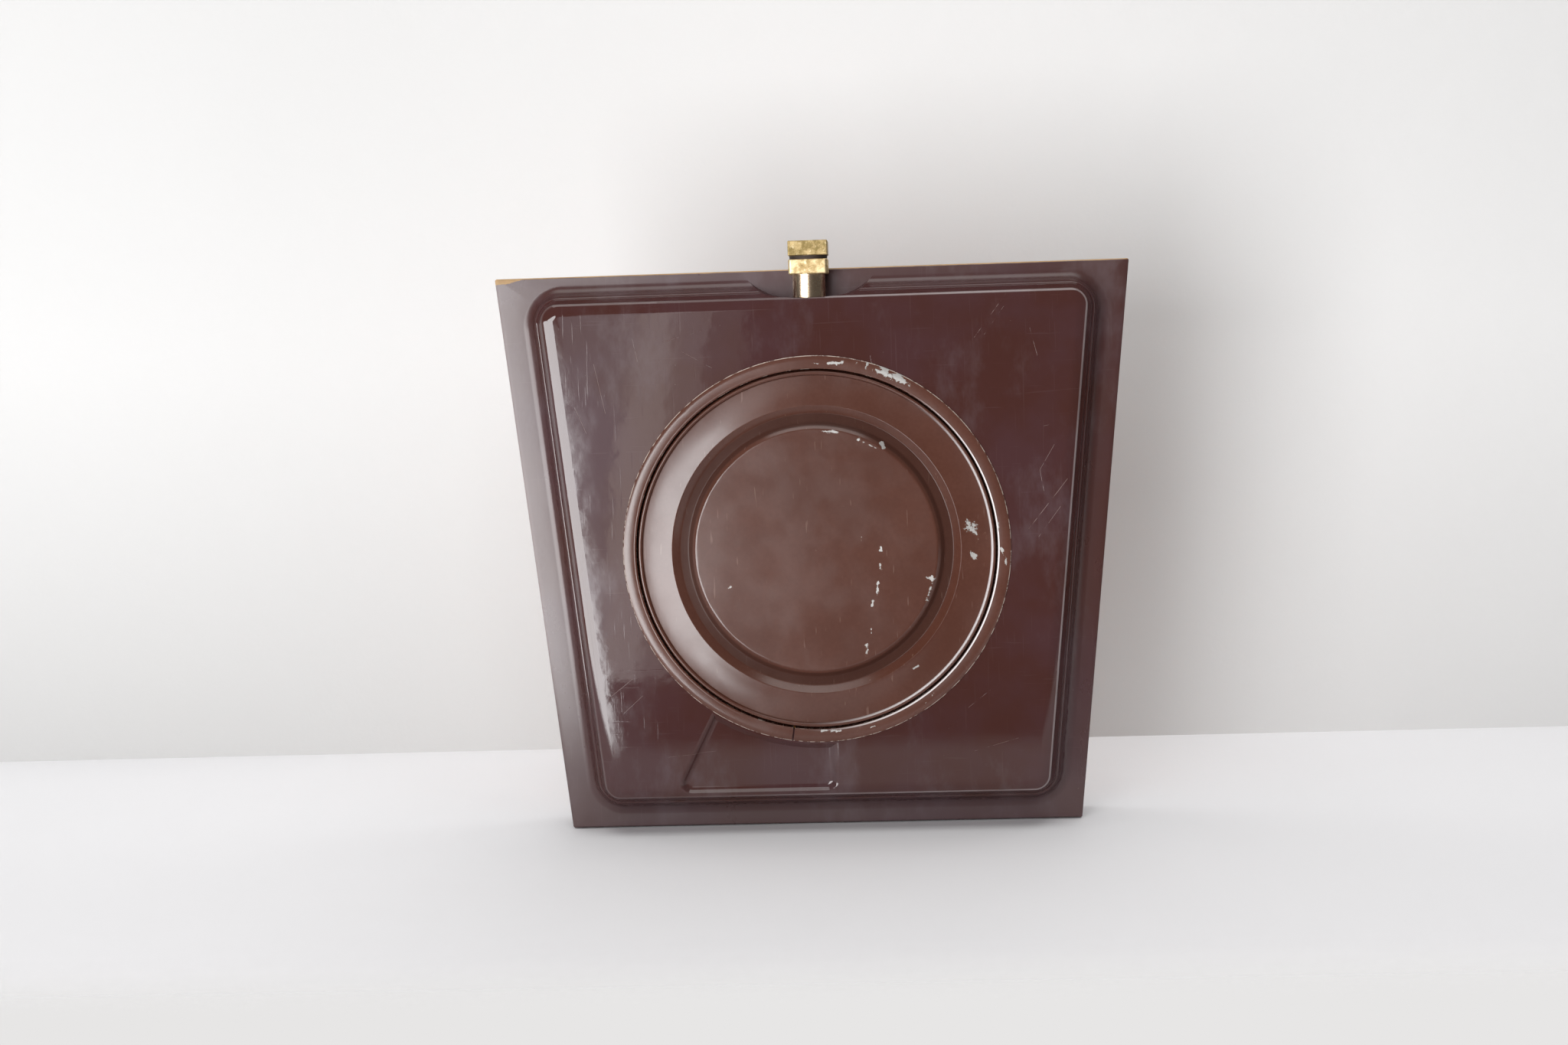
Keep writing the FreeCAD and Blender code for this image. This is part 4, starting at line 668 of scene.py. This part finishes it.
def braid(name, dark, light):
    """Cotton-braided lead: two crossing sets of threads."""
    look = Look(name, dark, 0.85, Sheen_Weight=0.25)
    weave = look.math("MAXIMUM", look.grain((1700.0, 1700.0, 700.0), (35.0, 20.0, 0.0), rough=0.3),
                      look.grain((700.0, 1700.0, 1700.0), (-35.0, -20.0, 0.0), rough=0.3))
    look.set("Base Color", look.mix(look.span(weave, 0.4, 0.7), dark, light))
    look.relief((weave, 0.12))
    return look.material


# ==== geometry ==============================================================================
SHARP_ANGLE = 32               # degrees
WELD_GAP = 0.002 * MM


def smoothing_group():
    """Welds a node's faces and shades it smooth except at edges over the sharp angle."""
    tree = bpy.data.node_groups.new("weld_and_smooth", "GeometryNodeTree")
    tree.interface.new_socket("Geometry", in_out="INPUT", socket_type="NodeSocketGeometry")
    limit = tree.interface.new_socket("Limit", in_out="INPUT", socket_type="NodeSocketFloat")
    limit.default_value = math.radians(SHARP_ANGLE)
    tree.interface.new_socket("Geometry", in_out="OUTPUT", socket_type="NodeSocketGeometry")
    start = tree.nodes.new("NodeGroupInput")
    end = tree.nodes.new("NodeGroupOutput")
    weld = tree.nodes.new("GeometryNodeMergeByDistance")
    weld.inputs["Distance"].default_value = WELD_GAP
    drop = tree.nodes.new("GeometryNodeRemoveAttribute")
    drop.inputs["Name"].default_value = "custom_normal"
    faces = tree.nodes.new("GeometryNodeSetShadeSmooth")
    edges = tree.nodes.new("GeometryNodeSetShadeSmooth")
    edges.domain = "EDGE"
    edges.inputs["Shade Smooth"].default_value = False
    angle = tree.nodes.new("GeometryNodeInputMeshEdgeAngle")
    sharp = tree.nodes.new("FunctionNodeCompare")
    sharp.operation = "GREATER_THAN"
    tree.links.new(angle.outputs["Unsigned Angle"], sharp.inputs[0])
    tree.links.new(start.outputs["Limit"], sharp.inputs[1])
    tree.links.new(start.outputs["Geometry"], weld.inputs["Geometry"])
    tree.links.new(weld.outputs[0], drop.inputs["Geometry"])
    tree.links.new(drop.outputs[0], faces.inputs["Geometry"])
    tree.links.new(faces.outputs[0], edges.inputs["Geometry"])
    tree.links.new(sharp.outputs["Result"], edges.inputs["Selection"])
    tree.links.new(edges.outputs[0], end.inputs["Geometry"])
    return tree


SMOOTHING = smoothing_group()


def dress(material, *names):
    """Gives CAD nodes a material and smooth shading."""
    for name in names:
        obj = NODES[name]
        obj.data.materials.clear()
        obj.data.materials.append(material)
        obj.modifiers.new("smooth", "NODES").node_group = SMOOTHING
        obj.modifiers.new("weighted", "WEIGHTED_NORMAL").keep_sharp = True


def dress_frame():
    """Every CAD node's material; gives back the two that the pieces made here share."""
    turned = turned_brass("brass_turned", (0.42, 0.31, 0.17), (0.72, 0.60, 0.38))
    wire = drawn_wire()
    dress(sawn_brass("brass_olive", (0.24, 0.175, 0.07), (0.48, 0.36, 0.18), (0.70, 0.58, 0.36),
                     0.60, 0.46), "knuckle_upper")
    dress(sawn_brass("brass_golden", (0.42, 0.30, 0.135), (0.74, 0.58, 0.34), (0.88, 0.78, 0.56),
                     0.60, 0.44), "knuckle_lower")
    dress(turned_brass("stem_brass", (0.50, 0.37, 0.25), (0.74, 0.58, 0.42), 0.12), "stem_tube")
    dress(turned, "stem_nipple", "swivel_collar", "swivel_stop_pin", "frame_inserts", "filter_top_strip",
          "holder_thread_shell", "terminal_tubes", "holder_centre_contact")
    dress(fibre(), "swivel_washer")
    dress(plated_steel(), "swivel_spring_washer", "stem_lock_washer", "stem_nut", "frame_screws",
          "filter_springs", "spring_rivets", "lamp_bracket", "holder_neck_nut",
          "holder_terminal_screws", "terminal_screws", "terminal_block_screw", "earth_tag")
    dress(phenolic(), "rear_housing", "front_frame")
    dress(lid_enamel(), "cover_lid")
    dress(ring_enamel(), "cover_ring")
    dress(felt(), "flange_gasket", "cover_seal", "window_seal")
    dress(porcelain(), "holder_core", "terminal_block")
    dress(holder_moulding(), "holder_cap", "holder_skirt")
    dress(clear_glass("lamp_glass", (0.96, 0.98, 0.98), 0.05), "bulb_glass", "bulb_stem_glass")
    dress(filter_glass(), "filter_glass_front", "filter_glass_rear")
    dress(gelatine(), "filter_gelatine")
    dress(binding_tape(), "filter_binding")
    dress(bulb_metal(), "bulb_cap", "bulb_centre_contact")
    dress(black_glass(), "bulb_cap_insulator")
    dress(wire, "bulb_support_wires", "bulb_filament")
    dress(braid("lead_red", (0.20, 0.018, 0.014), (0.42, 0.06, 0.045)), "lead_live")
    dress(braid("lead_black", (0.010, 0.010, 0.010), (0.055, 0.052, 0.050)), "lead_neutral")
    return turned, wire


# ==== pieces made here ======================================================================
THREAD_R = 4.46 * MM
THREAD_PITCH = 1.0 * MM
THREAD_TURNS = 4
THREAD_START = 0.6 * MM        # the thread begins this far down the block's hole
RIDGE_R = 0.24 * MM
COIL_INSET = 0.35 * MM         # from the CAD filament's outside to the line the coil winds about
COIL_GAP = 32                  # half the arc left open at the wires' ends, in degrees
COIL_TURNS = 60
COIL_WIDE = 0.25 * MM
COIL_HIGH = 0.12 * MM
COIL_WIRE_R = 0.05 * MM


def wire_piece(name, points, radius, material, body):
    """Round wire along a line of points."""
    data = bpy.data.curves.new(name, "CURVE")
    data.dimensions = "3D"
    data.bevel_depth = radius
    data.bevel_resolution = 3
    data.use_fill_caps = True
    line = data.splines.new("POLY")
    line.points.add(len(points) - 1)
    for spot, place in zip(line.points, points):
        spot.co = (*place, 1.0)
    made = bpy.data.objects.new(name, data)
    bpy.context.scene.collection.objects.link(made)
    made.data.materials.append(material)
    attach(made, body)
    return made


def pipe_threads(material):
    """Ridges of the pipe thread inside the upper block's hole."""
    steps = 40
    points = []
    for k in range(THREAD_TURNS * steps + 1):
        angle = 2 * math.pi * k / steps
        points.append((THREAD_R * math.cos(angle), THREAD_R * math.sin(angle),
                       BLOCK_TOP - THREAD_START - THREAD_PITCH * k / steps))
    wire_piece("pipe_thread_ridges", points, RIDGE_R, material, "ceiling_fitting")


def coiled_filament(material):
    """Fine coil along the CAD filament's arc."""
    low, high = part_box("bulb_filament")
    centre = (low + high) / 2
    reach = (high.x - low.x) / 2 - COIL_INSET
    half_gap = math.radians(COIL_GAP)
    steps = 10
    points = []
    for k in range(COIL_TURNS * steps + 1):
        share = k / (COIL_TURNS * steps)
        around = -math.pi / 2 + half_gap + share * (2 * math.pi - 2 * half_gap)
        twist = 2 * math.pi * k / steps
        out = reach + COIL_WIDE * math.cos(twist)
        points.append((centre.x + out * math.cos(around), centre.y + out * math.sin(around),
                       centre.z + COIL_HIGH * math.sin(twist)))
    made = wire_piece("filament_coil", points, COIL_WIRE_R, material, "lamp")
    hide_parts("bulb_filament")


# ==== stage =================================================================================
def sheet_of_stage(name, start, end, look):
    """Flat sheet across the whole stage between two lines, each given as y and z."""
    corners = [(-TABLE_HALF, *start), (TABLE_HALF, *start), (TABLE_HALF, *end), (-TABLE_HALF, *end)]
    mesh = bpy.data.meshes.new(name)
    mesh.from_pydata(corners, [], [(0, 1, 2, 3)])
    made = bpy.data.objects.new(name, mesh)
    bpy.context.scene.collection.objects.link(made)
    made.data.materials.append(look.material)
    return made


def table_top():
    """Plain pale table top; its front edge fades out."""
    look = Look("table_paint", TABLE_LIGHT, 0.8)
    look.set("Base Color", look.mix(look.noise(3.0, 4.0, 0.6), TABLE_DARK, TABLE_LIGHT))
    look.set("Alpha", look.span(look.axis("Y"), TABLE_FRONT, TABLE_FRONT + TABLE_FADE))
    sheet_of_stage("floor", (TABLE_FRONT, FLOOR_Z), (WALL_Y, FLOOR_Z), look)


def wall():
    """Plain pale wall behind the lamp, seen from its front side only; it casts no shadow."""
    look = Look("wall_paint", WALL_LIGHT, 0.9)
    tone = look.mix(look.noise(2.0, 4.0, 0.6), WALL_DARK, WALL_LIGHT)
    shade = look.span(look.axis("X"), *WALL_SHADE_X, 0.0, WALL_SHADE_AMOUNT)
    look.set("Base Color", look.mix(shade, tone, WALL_SHADE))
    look.relief((look.noise(60.0, 4.0), 0.4))
    clear = look.node("ShaderNodeBsdfTransparent")
    back = look.node("ShaderNodeNewGeometry").outputs["Backfacing"]
    both = look.node("ShaderNodeMixShader", [back, look.shader.outputs[0], clear.outputs[0]])
    output = look.tree.nodes["Material Output"]
    look.tree.links.new(both.outputs[0], output.inputs["Surface"])
    made = sheet_of_stage("wall", (WALL_Y, FLOOR_Z), (WALL_Y, FLOOR_Z + WALL_HEIGHT), look)
    made.visible_shadow = False


def room():
    """Dim room light; the camera itself sees a pale background."""
    world = bpy.data.worlds.new("room")
    bpy.context.scene.world = world
    world.use_nodes = True
    tree = world.node_tree
    lit = tree.nodes["Background"]
    lit.inputs["Color"].default_value = (*AMBIENT_COLOUR, 1.0)
    lit.inputs["Strength"].default_value = AMBIENT
    seen = tree.nodes.new("ShaderNodeBackground")
    seen.inputs["Color"].default_value = (*BACKGROUND, 1.0)
    path = tree.nodes.new("ShaderNodeLightPath")
    mix = tree.nodes.new("ShaderNodeMixShader")
    tree.links.new(path.outputs["Is Camera Ray"], mix.inputs[0])
    tree.links.new(lit.outputs[0], mix.inputs[1])
    tree.links.new(seen.outputs[0], mix.inputs[2])
    tree.links.new(mix.outputs[0], tree.nodes["World Output"].inputs["Surface"])


def soft_light(name, place, aim, width, height, radiance, colour=(1.0, 1.0, 1.0), turn=0.0):
    """Rectangular light facing along aim; its strength is the brightness of its face."""
    data = bpy.data.lights.new(name, "AREA")
    data.shape = "RECTANGLE"
    data.size = width
    data.size_y = height
    data.energy = radiance * math.pi * width * height
    data.color = colour
    lamp = bpy.data.objects.new(name, data)
    bpy.context.scene.collection.objects.link(lamp)
    lamp.location = place
    lamp.rotation_mode = "QUATERNION"
    facing = Vector(aim).to_track_quat("-Z", "Y")
    lamp.rotation_quaternion = facing @ Matrix.Rotation(math.radians(turn), 3, "Z").to_quaternion()
    return lamp


def lights():
    """A tall window to the left behind the camera, a pale curtain beside it, a ceiling and fills."""
    ahead = (0.0, 1.0, 0.0)
    soft_light("window", (-0.990, LIGHTS_Y, -0.45), ahead, 1.2, 1.5, WINDOW_LIGHT, WINDOW_COLOUR,
               WINDOW_TURN)
    for k, (x, width, radiance, colour) in enumerate(CURTAINS):
        soft_light(f"curtain_{k}", (x, CURTAIN_Y, CURTAIN_Z), ahead, width, CURTAIN_HEIGHT, radiance,
                   colour, CURTAIN_TURN)
    # this one shows in reflections alone, and the next one in none
    far = soft_light("window_far", (-2.42, LIGHTS_Y, -0.57), ahead, 1.66, 1.26, WINDOW_LIGHT,
                     WINDOW_COLOUR)
    far.visible_diffuse = False
    room_fill = soft_light("room_fill", (-0.2, LIGHTS_Y, 0.9), ahead, 1.6, 1.0, ROOM_FILL_LIGHT)
    room_fill.visible_glossy = False
    soft_light("ceiling", (0.0, -0.45, 1.6), (0.0, 0.0, -1.0), 1.6, 1.6, CEILING_LIGHT, CEILING_COLOUR)
    soft_light("front_fill", (0.2, 1.7, 0.9), (-0.10, -0.85, -0.45), 1.2, 1.2, FRONT_FILL_LIGHT)


def camera():
    """Camera behind the lamp, a little to the right, above and rolled."""
    azimuth = math.radians(CAMERA_AZIMUTH)
    elevation = math.radians(CAMERA_ELEVATION)
    back = Vector((math.sin(azimuth) * math.cos(elevation), -math.cos(azimuth) * math.cos(elevation),
                   math.sin(elevation)))
    level = Vector((math.cos(azimuth), math.sin(azimuth), 0.0))
    turn = Matrix.Rotation(math.radians(CAMERA_ROLL), 3, back)
    right = (turn.inverted() @ level).normalized()
    up = back.cross(right)
    data = bpy.data.cameras.new("camera")
    data.lens = LENS
    data.sensor_width = SENSOR_WIDTH
    data.clip_start = CLIP_NEAR
    data.clip_end = CLIP_FAR
    view = bpy.data.objects.new("camera", data)
    bpy.context.scene.collection.objects.link(view)
    turned = Matrix((right, up, back)).transposed()
    view.rotation_mode = "QUATERNION"
    view.rotation_quaternion = turned.to_quaternion()
    view.location = PLATE_CENTRE + back * CAMERA_DISTANCE + right * CAMERA_SIDE + up * CAMERA_LIFT
    bpy.context.scene.camera = view


# ==== build =================================================================================
brass, wire = dress_frame()
pipe_threads(brass)
coiled_filament(wire)
table_top()
wall()
room()
lights()
camera()
bpy.context.scene.view_settings.view_transform = "Standard"
